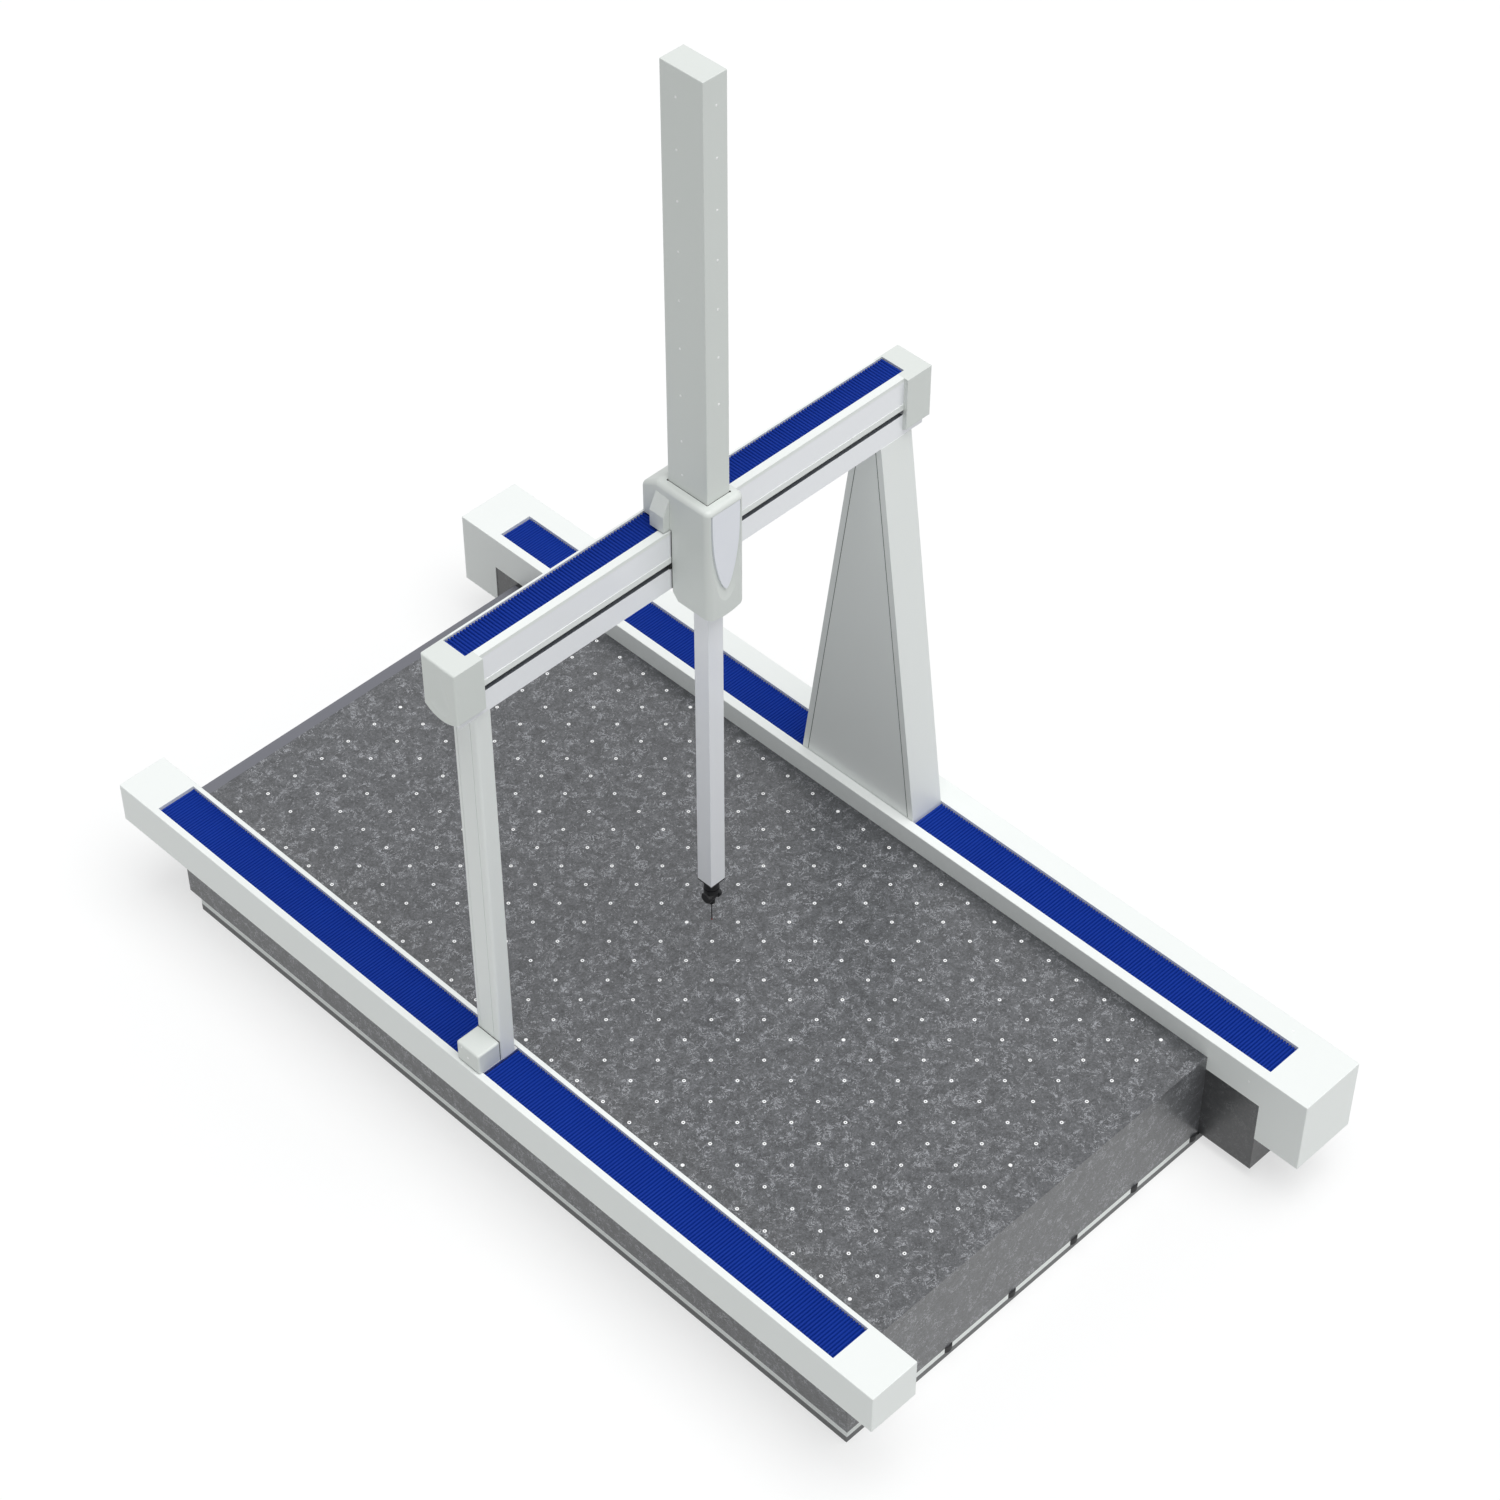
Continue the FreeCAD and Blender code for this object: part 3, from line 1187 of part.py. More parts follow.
def make_probe_head():
    x = cu(0)
    y = spindle_y
    socket = upright(x, y, disc_top, disc_top + swivel_length, swivel_radius + shaft_clearance)
    mount = upright(x, y, disc_top, mount_top, head_mount_radius)
    mount = bevel(mount, head_bevel, lambda e: near(middle(e).z, disc_top))
    save("probe_head_mount", mount.cut(socket))
    disc_bottom = disc_top - head_disc_height
    disc = upright(x, y, disc_bottom, disc_top, head_disc_radius)
    pin = upright(x, y, disc_top, disc_top + swivel_length - swivel_end_gap, swivel_radius)
    arm_half = cheek_radius - yoke_setback
    yoke = []
    for side in (-1, 1):
        start = V(x + side * cheek_inner, y, tilt_z)
        cheek = Part.makeCylinder(cheek_radius, cheek_outer - cheek_inner, start, V(side, 0, 0))
        yoke.append(bevel(cheek, head_bevel, lambda e, s=side: near(middle(e).x, x + s * cheek_outer)))
        arm = sorted((x + side * cheek_inner, x + side * (head_disc_radius - yoke_inset)))
        yoke.append(block(arm[0], arm[1], y - arm_half, y + arm_half, tilt_z, disc_bottom))
    bore_half = cheek_outer - axle_cover
    axle_bore = Part.makeCylinder(trunnion_radius + shaft_clearance, 2 * bore_half,
                                  V(x - bore_half, y, tilt_z), V(1, 0, 0))
    save("probe_head_body", join(disc, pin, *yoke).cut(axle_bore))
    axle_half = bore_half - axle_end_gap
    knuckle = Part.makeCylinder(knuckle_radius, 2 * knuckle_half, V(x - knuckle_half, y, tilt_z), V(1, 0, 0))
    trunnion = Part.makeCylinder(trunnion_radius, 2 * axle_half, V(x - axle_half, y, tilt_z), V(1, 0, 0))
    probe_bottom = tilt_z - probe_length
    barrel = upright(x, y, probe_bottom, tilt_z, probe_radius)
    barrel = bevel(barrel, probe_bevel, lambda e: near(middle(e).z, probe_bottom))
    save("probe", join(knuckle, trunnion, barrel))
    stem_bottom = probe_bottom - stem_length
    stem = upright(x, y, stem_bottom, probe_bottom, stem_radius)
    save("stylus_stem", stem)
    ball = Part.makeSphere(ball_radius, V(x, y, stem_bottom - ball_seat))
    save("stylus_ball", ball.cut(stem))


os.makedirs("parts", exist_ok=True)
make_base()
make_granite()
make_tray()
make_covers()
make_end_boxes()
make_brackets()
make_guide_bellows()
make_y_track()
make_right_truck()
make_bridge_bearings()
make_y_drive()
make_right_leg()
make_left_leg()
make_beam()
make_end_caps()
make_beam_bellows()
make_carriage_frame()
make_carriage_bearings()
make_housing()
make_rear_cover()
make_column()
make_x_drive()
make_spindle()
make_probe_head()
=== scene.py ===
import json
import math

import bpy
from mathutils import Matrix, Vector


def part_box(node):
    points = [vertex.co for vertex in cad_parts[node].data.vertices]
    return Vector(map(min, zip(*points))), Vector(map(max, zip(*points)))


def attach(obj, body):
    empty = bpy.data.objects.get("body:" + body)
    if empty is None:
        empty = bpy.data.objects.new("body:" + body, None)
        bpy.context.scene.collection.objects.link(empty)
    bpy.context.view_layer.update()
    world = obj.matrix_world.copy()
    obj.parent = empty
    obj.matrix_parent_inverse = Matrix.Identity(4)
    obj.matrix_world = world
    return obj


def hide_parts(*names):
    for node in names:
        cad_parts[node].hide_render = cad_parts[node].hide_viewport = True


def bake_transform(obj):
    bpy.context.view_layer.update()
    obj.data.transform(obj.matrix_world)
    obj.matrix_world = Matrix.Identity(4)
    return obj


# Looks of a large moving-bridge coordinate measuring machine, in metres.
# The frame gives every rigid form. This script adds finishes, the folded
# bellows, the table's insert grid, screws, seals and the studio.

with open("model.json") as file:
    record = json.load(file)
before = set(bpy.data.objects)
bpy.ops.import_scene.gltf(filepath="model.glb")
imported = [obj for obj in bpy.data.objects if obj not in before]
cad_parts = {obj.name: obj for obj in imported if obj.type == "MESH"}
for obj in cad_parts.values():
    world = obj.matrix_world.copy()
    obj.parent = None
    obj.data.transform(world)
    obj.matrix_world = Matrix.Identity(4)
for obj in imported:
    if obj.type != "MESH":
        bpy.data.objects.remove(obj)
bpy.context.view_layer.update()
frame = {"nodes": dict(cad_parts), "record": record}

# Directions
along_x = 0
along_y = 1
upward = (0, 0, 1)
to_left = (-1, 0, 0)
to_front = (0, -1, 0)

# Camera, solved from the photograph's straight edges
camera_place = (-6.8304, -7.1571, 11.4159)
camera_aim = (0.5, 0.5, -0.70711)
camera_lens = 85.13
camera_reach = 200.0
sensor_width = 36.0

# Studio
floor_size = 80.0
floor_drop = 0.0006
floor_tone = (0.95, 0.955, 0.95)
floor_glow_share = 0.62
floor_bounce_tone = (0.67, 0.68, 0.67)
room_tone = (0.96, 0.98, 1.0)
room_strength = 0.36
sun_strength = 2.40
sun_spread = math.radians(50)
sun_direction = (0.0, -0.27, 0.96)
white = (1.0, 1.0, 1.0)

# Tones of the granite, and where the far cover's shade begins and ends on it
granite_tones = ((0.040, 0.042, 0.046), (0.082, 0.085, 0.091), (0.150, 0.155, 0.166))
granite_fleck = (0.46, 0.47, 0.50)
granite_far_shade = (0.800, 0.935)
table_level = 0.94
# The guide beam's granite is darkened to this level as painted shade.
guide_beam_painted_shade_level = 0.52

# Tones of the other finishes, each from its first to its second
cover_tones = ((0.835, 0.862, 0.842), (0.862, 0.886, 0.870))
moulding_tones = ((0.705, 0.737, 0.708), (0.739, 0.768, 0.741))
ceramic_tones = ((0.935, 0.948, 0.983), (0.958, 0.967, 0.990))
cloth_tones = ((0.0012, 0.0240, 0.260), (0.0026, 0.0400, 0.360))
cloth_weave_tone = (0.002, 0.020, 0.19)
panel_tones = ((0.835, 0.855, 0.915), (0.870, 0.888, 0.940))
rubber_tones = ((0.010, 0.010, 0.011), (0.028, 0.028, 0.030))
tape_tones = ((0.46, 0.45, 0.42), (0.09, 0.09, 0.09))
insert_tones = ((0.93, 0.93, 0.93), (0.97, 0.97, 0.97))
ruby_tones = ((0.16, 0.012, 0.012), (0.26, 0.020, 0.020))
base_steel_tones = ((0.098, 0.100, 0.102), (0.150, 0.152, 0.156))
tray_tones = ((0.135, 0.138, 0.160), (0.165, 0.168, 0.190))
motor_tones = ((0.012, 0.012, 0.013), (0.030, 0.030, 0.032))
probe_tones = ((0.003, 0.003, 0.004), (0.010, 0.010, 0.011))
seal_tones = ((0.006, 0.006, 0.006), (0.014, 0.014, 0.014))
slot_lining_tones = ((0.066, 0.072, 0.082), (0.094, 0.102, 0.116))
seam_tones = ((0.110, 0.118, 0.112), (0.135, 0.143, 0.137))
aluminium_tone = (0.62, 0.63, 0.65)
bearing_tone = (0.68, 0.68, 0.66)
drive_tone = (0.55, 0.56, 0.58)
stylus_tone = (0.10, 0.095, 0.095)
tool_mark_dark = 0.82

# Pitches of fine patterns
thread_pitch = 0.0011
tape_pitch = 0.010

# Table inserts
insert_pitch = 0.150
insert_columns = 13
insert_rows = 25
insert_first = (-0.936, -1.7925)
insert_outer = 0.008
insert_face = 0.0052
insert_hole = 0.0034
insert_proud = 0.0004
insert_recess = 0.0022
insert_sides = 12

# Bellows
pleat_pitch = 0.0145
pleat_depth = 0.0075
pleat_shoulder = 0.22
cloth_thickness = 0.0008
cloth_side_drop = 0.020
cloth_merge = 0.0001
end_share = 0.03
share_growth = 2.1
share_limit = 0.4

# Angles up to which an edge is shaded smooth, in degrees
cloth_smooth_angle = 50.0
strip_smooth_angle = 35.0

# Seals and seams
seal_width = 0.0030
seal_height = 0.0012
seal_proud = 0.0003
seal_edge_share = 0.3
slot_lining_height = 0.0004
slot_lining_inset = 0.0008
beam_slot_rise = 0.102
beam_slot_height = 0.027
panel_top_half = 0.040
wiper_gap = 0.0025
wiper_width = 0.0020
slot_wiper_width = 0.0120

# Form of a screw
screw_radius = 0.0048
screw_head = 0.0014
screw_socket = 0.0024
screw_rim_share = 0.2
screw_socket_share = 0.7
screw_sides = 18

# Places of the screws. The column's lowest one is this many pitches below its top one
column_lowest_screw = 7.75
column_screw_top = 4.703
column_screw_pitch = 0.210
column_screw_y = -0.095
column_screw_x = -0.053
column_side_rows = 9
column_front_rows = 7
box_top_screw = (1.201, -2.185)
box_side_screw = (-2.191, 0.564)
foot_screw_places = ((0.034, 0.090), (-0.001, 0.055))


class Value:
    """A number that varies over a surface. Arithmetic on it adds Math nodes."""

    def __init__(self, finish, socket):
        self.finish = finish
        self.socket = socket

    def _math(self, operation, first, second=None):
        sockets = {0: first}
        if second is not None:
            sockets[1] = second
        return self.finish.node("ShaderNodeMath", {"operation": operation}, sockets)["Value"]

    def __add__(self, other):
        return self._math("ADD", self, other)

    __radd__ = __add__

    def __mul__(self, other):
        return self._math("MULTIPLY", self, other)

    def __sub__(self, other):
        return self._math("SUBTRACT", self, other)

    def __rsub__(self, other):
        return self._math("SUBTRACT", other, self)

    def __abs__(self):
        return self._math("ABSOLUTE", self)

    def between(self, low, high):
        """0 at low, 1 at high, smooth in between and clipped outside."""
        out = self.finish.node("ShaderNodeMapRange", {"interpolation_type": "SMOOTHSTEP"},
                               {"Value": self, "From Min": low, "From Max": high})
        return out["Result"]

    def wave(self):
        return self._math("SINE", self)


class Finish:
    """One procedural material round a Principled shader."""

    def __init__(self, name, **constants):
        self.material = bpy.data.materials.new(name)
        self.material.use_nodes = True
        self.tree = self.material.node_tree
        self.shader = self.tree.nodes["Principled BSDF"]
        for socket, value in constants.items():
            self.shader.inputs[socket.replace("_", " ")].default_value = value
        self.place = self.node("ShaderNodeTexCoord")["Object"]

    def node(self, kind, settings=None, sockets=None):
        """A new node, with its outputs by name."""
        made = self.tree.nodes.new(kind)
        for name, value in (settings or {}).items():
            if name == "stops":
                self.set_stops(made.color_ramp, value)
            else:
                setattr(made, name, value)
        for name, value in (sockets or {}).items():
            self.join(value, made.inputs[name])
        return {out.name: Value(self, out) for out in made.outputs if out.enabled}

    def set_stops(self, ramp, stops):
        """Sets the stops of a new ramp, which has two and gets the rest added."""
        for number, (at, tone) in enumerate(stops):
            stop = ramp.elements[number] if number < 2 else ramp.elements.new(at)
            stop.position = at
            stop.color = opaque(tone)

    def join(self, value, socket):
        if isinstance(value, Value):
            self.tree.links.new(value.socket, socket)
        else:
            socket.default_value = value

    def feed(self, name, value):
        self.join(value, self.shader.inputs[name])

    def stretched(self, scale):
        return self.node("ShaderNodeMapping", None, {"Vector": self.place, "Scale": scale})["Vector"]

    def noise(self, scale, detail=4.0, roughness=0.5, distortion=0.0, place=None):
        out = self.node("ShaderNodeTexNoise", None,
                        {"Vector": place or self.place, "Scale": scale, "Detail": detail,
                         "Roughness": roughness, "Distortion": distortion})
        return out["Fac"]

    def mix(self, share, first, second):
        """From first to second, each a tone or the output of another mix or ramp."""
        first_socket, second_socket = 6, 7
        out = self.node("ShaderNodeMix", {"data_type": "RGBA"},
                        {0: share, first_socket: opaque(first), second_socket: opaque(second)})
        return out["Result"]

    def ramp(self, value, *stops):
        return self.node("ShaderNodeValToRGB", {"stops": stops}, {"Fac": value})["Color"]

    def bump(self, height, strength, distance):
        out = self.node("ShaderNodeBump", None,
                        {"Height": height, "Strength": strength, "Distance": distance})
        self.feed("Normal", out["Normal"])

    def axes(self):
        out = self.node("ShaderNodeSeparateXYZ", None, {"Vector": self.place})
        return out["X"], out["Y"]


def opaque(tone):
    """A tone as a colour without transparency. A node's output stays as it is."""
    return (*tone, 1.0) if isinstance(tone, tuple) else tone


def scaled(tone, level):
    return tuple(level * channel for channel in tone)


def granite_finish(name, level):
    """Honed dark granite: fine grain with pale thread-like flecks all over, and painted shade near the
    far cover.
    """
    stone = Finish(name, IOR=1.52, Coat_Weight=0.25, Coat_Roughness=0.18)
    x = stone.axes()[0]
    patches = stone.noise(24.0, 5.0, 0.65, 0.8)
    grain = stone.noise(120.0, 4.0, 0.8)
    dark, middle, pale = (scaled(tone, level) for tone in granite_tones)
    body = stone.ramp(patches * 0.4 + grain * 0.6, (0.38, dark), (0.50, middle), (0.63, pale))
    fibre = stone.noise(34.0, 5.0, 0.66, 1.2)
    threads = 1.0 - abs(fibre - 0.5).between(0.006, 0.034)
    where = stone.noise(19.0, 5.0, 0.72, 0.5).between(0.49, 0.57)
    speck = stone.noise(92.0, 3.0, 0.7, 0.6).between(0.60, 0.67)
    flecks = threads * where * 0.72 + speck * 0.34
    colour = stone.mix(flecks, body, scaled(granite_fleck, level))
    # Painted shade: the base colour darkens towards the far cover, where its shadow falls.
    painted_far_shade = x.between(*granite_far_shade) * 0.55
    stone.feed("Base Color", stone.mix(painted_far_shade, colour, dark))
    stone.feed("Roughness", 0.32 + patches * 0.12 + flecks * 0.08)
    stone.bump(grain * 0.6 + flecks, 0.05, 0.0005)
    return stone.material


def sheet_paint_finish():
    """Satin powder coat on sheet metal, with a faint orange peel."""
    paint = Finish("cover_paint", IOR=1.48, Coat_Weight=0.15, Coat_Roughness=0.22)
    drift = paint.noise(1.6, 3.0)
    peel = paint.noise(420.0, 2.0)
    dust = paint.noise(46.0, 5.0, 0.7)
    paint.feed("Base Color", paint.mix(drift * 0.6 + dust * 0.4, *cover_tones))
    paint.feed("Roughness", 0.36 + drift * 0.08 + peel * 0.05)
    paint.bump(peel, 0.05, 0.0004)
    return paint.material


def moulding_finish():
    """Moulded covers: a fine matt grain in a slightly greener grey-white."""
    skin = Finish("moulded_cover", IOR=1.49, Coat_Weight=0.12, Coat_Roughness=0.3)
    drift = skin.noise(2.6, 3.0)
    grain = skin.noise(900.0, 3.0, 0.6)
    skin.feed("Base Color", skin.mix(drift, *moulding_tones))
    skin.feed("Roughness", 0.40 + grain * 0.10)
    skin.bump(grain, 0.08, 0.0003)
    return skin.material


def ceramic_finish():
    """Lapped ceramic of the crossbeam and the spindle: cool white, with faint lapping marks."""
    body = Finish("white_ceramic", IOR=1.6, Coat_Weight=0.3, Coat_Roughness=0.12)
    drift = body.noise(4.0, 4.0)
    marks = body.noise(60.0, 5.0, 0.6, 0.2, body.stretched((1.0, 1.0, 18.0)))
    body.feed("Base Color", body.mix(drift * 0.5 + marks * 0.5, *ceramic_tones))
    body.feed("Roughness", 0.20 + marks * 0.10)
    body.bump(marks, 0.03, 0.0003)
    return body.material


def bellows_finish():
    """Coated cloth: a plain weave of fine threads, darker at every other crossing."""
    cloth = Finish("bellows_cloth", IOR=1.45, Specular_IOR_Level=0.2)
    x, y = cloth.axes()
    per_thread = 2 * math.pi / thread_pitch
    weave = (x * per_thread).wave() * (y * per_thread).wave()
    drift = cloth.noise(7.0, 4.0)
    fuzz = cloth.noise(300.0, 4.0, 0.7)
    base = cloth.mix(drift * 0.5 + fuzz * 0.5, *cloth_tones)
    cloth.feed("Base Color", cloth.mix(weave.between(-1.0, 1.0) * 0.35, base, cloth_weave_tone))
    cloth.feed("Roughness", 0.58 + fuzz * 0.18)
    cloth.bump(weave * 0.5 + fuzz, 0.12, 0.0004)
    return cloth.material


def smooth_panel_finish():
    """The bare inlaid panel on the carriage."""
    panel = Finish("badge_panel", IOR=1.5, Coat_Weight=0.3, Coat_Roughness=0.1)
    drift = panel.noise(9.0, 3.0)
    panel.feed("Base Color", panel.mix(drift, *panel_tones))
    panel.feed("Roughness", 0.26 + drift * 0.06)
    return panel.material


def plain_paint_finish(name, tones, rough=0.45):
    """Plain machine paint in one tone, with faint drift and grain."""
    paint = Finish(name, IOR=1.48)
    drift = paint.noise(5.0, 4.0)
    grain = paint.noise(260.0, 3.0)
    paint.feed("Base Color", paint.mix(drift * 0.6 + grain * 0.4, *tones))
    paint.feed("Roughness", rough + grain * 0.10)
    paint.bump(grain, 0.06, 0.0004)
    return paint.material


def rubber_finish():
    """Black mount rubber with a rough grain."""
    rubber = Finish("mount_rubber", IOR=1.5)
    grain = rubber.noise(320.0, 4.0, 0.7)
    rubber.feed("Base Color", rubber.mix(grain, *rubber_tones))
    rubber.feed("Roughness", 0.62 + grain * 0.2)
    rubber.bump(grain, 0.15, 0.0004)
    return rubber.material


def ground_metal_finish(name, tone, rough, mark_scale=(1.0, 1.0, 30.0)):
    """Machined metal: fine tool marks, packed close along each axis with a large mark scale."""
    metal = Finish(name, Metallic=1.0, IOR=1.5)
    marks = metal.noise(90.0, 6.0, 0.65, 0.1, metal.stretched(mark_scale))
    drift = metal.noise(6.0, 3.0)
    metal.feed("Base Color", metal.mix(marks * 0.6 + drift * 0.4, scaled(tone, tool_mark_dark), tone))
    metal.feed("Roughness", rough + marks * 0.14)
    metal.bump(marks, 0.08, 0.0003)
    return metal.material


def scale_tape_finish():
    """Dark graduations on a steel tape, one for each tape pitch."""
    tape = Finish("scale_tape", Metallic=0.8, IOR=1.5)
    x, y = tape.axes()
    lines = ((x + y) * (2 * math.pi / tape_pitch)).wave().between(0.82, 0.95)
    grain = tape.noise(500.0, 3.0)
    tape.feed("Base Color", tape.mix(lines, *tape_tones))
    tape.feed("Roughness", 0.28 + grain * 0.12)
    return tape.material


def insert_finish():
    """Bright bushes in the table, which read as white dots from afar."""
    bush = Finish("insert_steel", Metallic=0.0, IOR=1.5, Coat_Weight=0.3, Coat_Roughness=0.15)
    turned = bush.noise(700.0, 3.0)
    bush.feed("Base Color", bush.mix(turned, *insert_tones))
    bush.feed("Roughness", 0.25 + turned * 0.12)
    return bush.material


def ruby_finish():
    """The polished red ball of the stylus."""
    ruby = Finish("ruby", IOR=1.76, Coat_Weight=0.6, Coat_Roughness=0.03)
    depth = ruby.noise(400.0, 2.0)
    ruby.feed("Base Color", ruby.mix(depth, *ruby_tones))
    ruby.feed("Roughness", 0.06 + depth * 0.05)
    return ruby.material


finishes = {
    "granite": granite_finish("granite", table_level),
    # A darker copy of the granite, painted shade for the guide beam.
    "granite_beam_painted_shade": granite_finish("granite_beam_painted_shade", guide_beam_painted_shade_level),
    "cover_paint": sheet_paint_finish(),
    "moulded_cover": moulding_finish(),
    "white_ceramic": ceramic_finish(),
    "bellows_cloth": bellows_finish(),
    "badge_panel": smooth_panel_finish(),
    "base_steel": plain_paint_finish("base_steel", base_steel_tones, 0.4),
    "tray_paint": plain_paint_finish("tray_paint", tray_tones),
    "mount_rubber": rubber_finish(),
    "machined_aluminium": ground_metal_finish("machined_aluminium", aluminium_tone, 0.30),
    "bearing_alloy": ground_metal_finish("bearing_alloy", bearing_tone, 0.24, (1.0, 18.0, 1.0)),
    "drive_steel": ground_metal_finish("drive_steel", drive_tone, 0.22, (12.0, 1.0, 12.0)),
    "scale_tape": scale_tape_finish(),
    "motor_black": plain_paint_finish("motor_black", motor_tones, 0.35),
    "probe_black": plain_paint_finish("probe_black", probe_tones, 0.32),
    "stylus_steel": ground_metal_finish("stylus_steel", stylus_tone, 0.30),
    "ruby": ruby_finish(),
    "seal_black": plain_paint_finish("seal_black", seal_tones, 0.6),
    "slot_lining": plain_paint_finish("slot_lining", slot_lining_tones, 0.35),
    "seam_grey": plain_paint_finish("seam_grey", seam_tones, 0.6),
    "insert_steel": insert_finish(),
}


def coat(piece, finish):
    piece.data.materials.clear()
    piece.data.materials.append(finishes[finish])


def rename(piece, name):
    piece.name = name
    piece.data.name = name


def finish_piece(piece, name, body, finish):
    """Names and coats a rigid piece, and hangs it on its body."""
    rename(piece, name)
    coat(piece, finish)
    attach(piece, body)


def deselect():
    if bpy.context.object and bpy.context.object.mode != "OBJECT":
        bpy.ops.object.mode_set(mode="OBJECT")
    bpy.ops.object.select_all(action="DESELECT")


def choose(piece):
    """Makes the piece the only selected object, and the active one."""
    deselect()
    piece.select_set(True)
    bpy.context.view_layer.objects.active = piece


def open_mesh(piece):
    """Edit mode on the whole mesh of the piece."""
    choose(piece)
    bpy.ops.object.mode_set(mode="EDIT")
    bpy.ops.mesh.select_all(action="SELECT")


def close_mesh():
    bpy.ops.object.mode_set(mode="OBJECT")


def extrude_up(rise):
    bpy.ops.mesh.extrude_region_move(TRANSFORM_OT_translate={"value": (0, 0, rise)})


def settle(piece):
    """The piece's place goes into its mesh, with its object at the origin."""
    choose(piece)
    bpy.ops.object.transform_apply(location=True, rotation=True, scale=True)


def apply(piece, kind, **settings):
    """Adds a modifier with these settings to the piece and applies it."""
    choose(piece)
    made = piece.modifiers.new(kind.lower(), kind)
    for name, value in settings.items():
        setattr(made, name, value)
    bpy.ops.object.modifier_apply(modifier=made.name)


def repeat(piece, count, axis, step, **settings):
    """Copies the piece along one axis, a step apart."""
    offset = [0.0, 0.0, 0.0]
    offset[axis] = step
    apply(piece, "ARRAY", count=count, use_relative_offset=False, use_constant_offset=True,
          constant_offset_displace=offset, **settings)


def face_outward(piece):
    open_mesh(piece)
    bpy.ops.mesh.normals_make_consistent(inside=False)
    close_mesh()


def face_upward(cloth):
    """Open cloth faces up and outwards, so that its thickness goes the right way."""
    face_outward(cloth)
    top = max(cloth.data.polygons, key=lambda face: face.center.z)
    if top.normal.z < 0:
        open_mesh(cloth)
        bpy.ops.mesh.flip_normals()
        close_mesh()


def smooth(piece, degrees):
    choose(piece)
    bpy.ops.object.shade_smooth_by_angle(angle=math.radians(degrees))


def make_inserts():
    """One chamfered bush with its hole, copied over the whole grid."""
    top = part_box("granite_table")[1].z
    deselect()
    bpy.ops.mesh.primitive_circle_add(vertices=insert_sides, radius=insert_outer, fill_type="NGON",
                                      location=(*insert_first, top - insert_proud))
    bush = bpy.context.object
    settle(bush)
    open_mesh(bush)
    extrude_up(2 * insert_proud)
    bpy.ops.mesh.inset(thickness=insert_outer - insert_face)
    bpy.ops.transform.translate(value=(0, 0, insert_proud / 2))
    bpy.ops.mesh.inset(thickness=insert_face - insert_hole)
    extrude_up(-insert_recess)
    close_mesh()
    repeat(bush, insert_columns, along_x, insert_pitch)
    repeat(bush, insert_rows, along_y, insert_pitch)
    face_outward(bush)
    finish_piece(bush, "table_insert_grid", "table", "insert_steel")
    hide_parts("table_inserts")


def share_to_blend(share):
    """The place along a blend whose smooth step gives this share of the motion."""
    return 0.5 - math.sin(math.asin(1 - 2 * share) / 3)


def fold_shares():
    """Where one bellows is split so that its folds stay even while it moves."""
    low = [0.0, end_share]
    while low[-1] * share_growth < share_limit:
        low.append(low[-1] * share_growth)
    return low + [1 - share for share in reversed(low)]


def pleat_fall(from_crest):
    """How far a pleat has fallen at its crest (0), its shoulder (0.5) and its foot (1)."""
    if from_crest < 0.25:
        return 0.0
    return pleat_depth * (pleat_shoulder if from_crest < 0.75 else 1.0)


def select_side_edges(mesh):
    """Selects the edges along the two sides of the active pleat, which lies across Y."""
    bpy.ops.mesh.select_mode(type="EDGE")
    bpy.ops.mesh.select_all(action="DESELECT")
    close_mesh()
    for edge in mesh.edges:
        first, second = (mesh.vertices[number].co.y for number in edge.vertices)
        edge.select = first * second > 0
    bpy.ops.object.mode_set(mode="EDIT")


def one_fold(width, pitch, drop):
    """A single pleat on its own: a rounded crest whose two sides turn down."""
    deselect()
    bpy.ops.mesh.primitive_grid_add(x_subdivisions=4, y_subdivisions=1, size=1.0)
    fold = bpy.context.object
    fold.scale = (pitch, width, 1.0)
    settle(fold)
    for vertex in fold.data.vertices:
        fall = pleat_fall(abs(vertex.co.x) / (pitch / 2))
        vertex.co.z = -fall
        vertex.co.y -= math.copysign(fall, vertex.co.y)
    bpy.ops.object.mode_set(mode="EDIT")
    select_side_edges(fold.data)
    extrude_up(-drop)
    close_mesh()
    return fold


def folded_cloth(low, high, along, start, step, count):
    """A length of count pleats in the box from low to high, the first one centred at start."""
    across = 1 - along
    width = high[across] - low[across] - 2 * cloth_thickness
    drop = min(cloth_side_drop, high.z - low.z - pleat_depth - 2 * cloth_thickness)
    cloth = one_fold(width, abs(step), drop)
    if along == along_y:
        cloth.rotation_euler.z = math.pi / 2
    cloth.location[along] = start
    cloth.location[across] = (low[across] + high[across]) / 2
    cloth.location.z = high.z - cloth_thickness
    settle(cloth)
    repeat(cloth, count, along, step, use_merge_vertices=True, merge_threshold=cloth_merge)
    face_upward(cloth)
    apply(cloth, "SOLIDIFY", thickness=cloth_thickness, offset=1.0)
    smooth(cloth, cloth_smooth_angle)
    return cloth


def blend_ends(first_share, last_share):
    """Where a blend starts and ends, as shares of a bellows, to move both ends of one length right."""
    first_blend, last_blend = share_to_blend(first_share), share_to_blend(last_share)
    reach = (last_share - first_share) / (last_blend - first_blend)
    start = first_share - first_blend * reach
    return start, start + reach


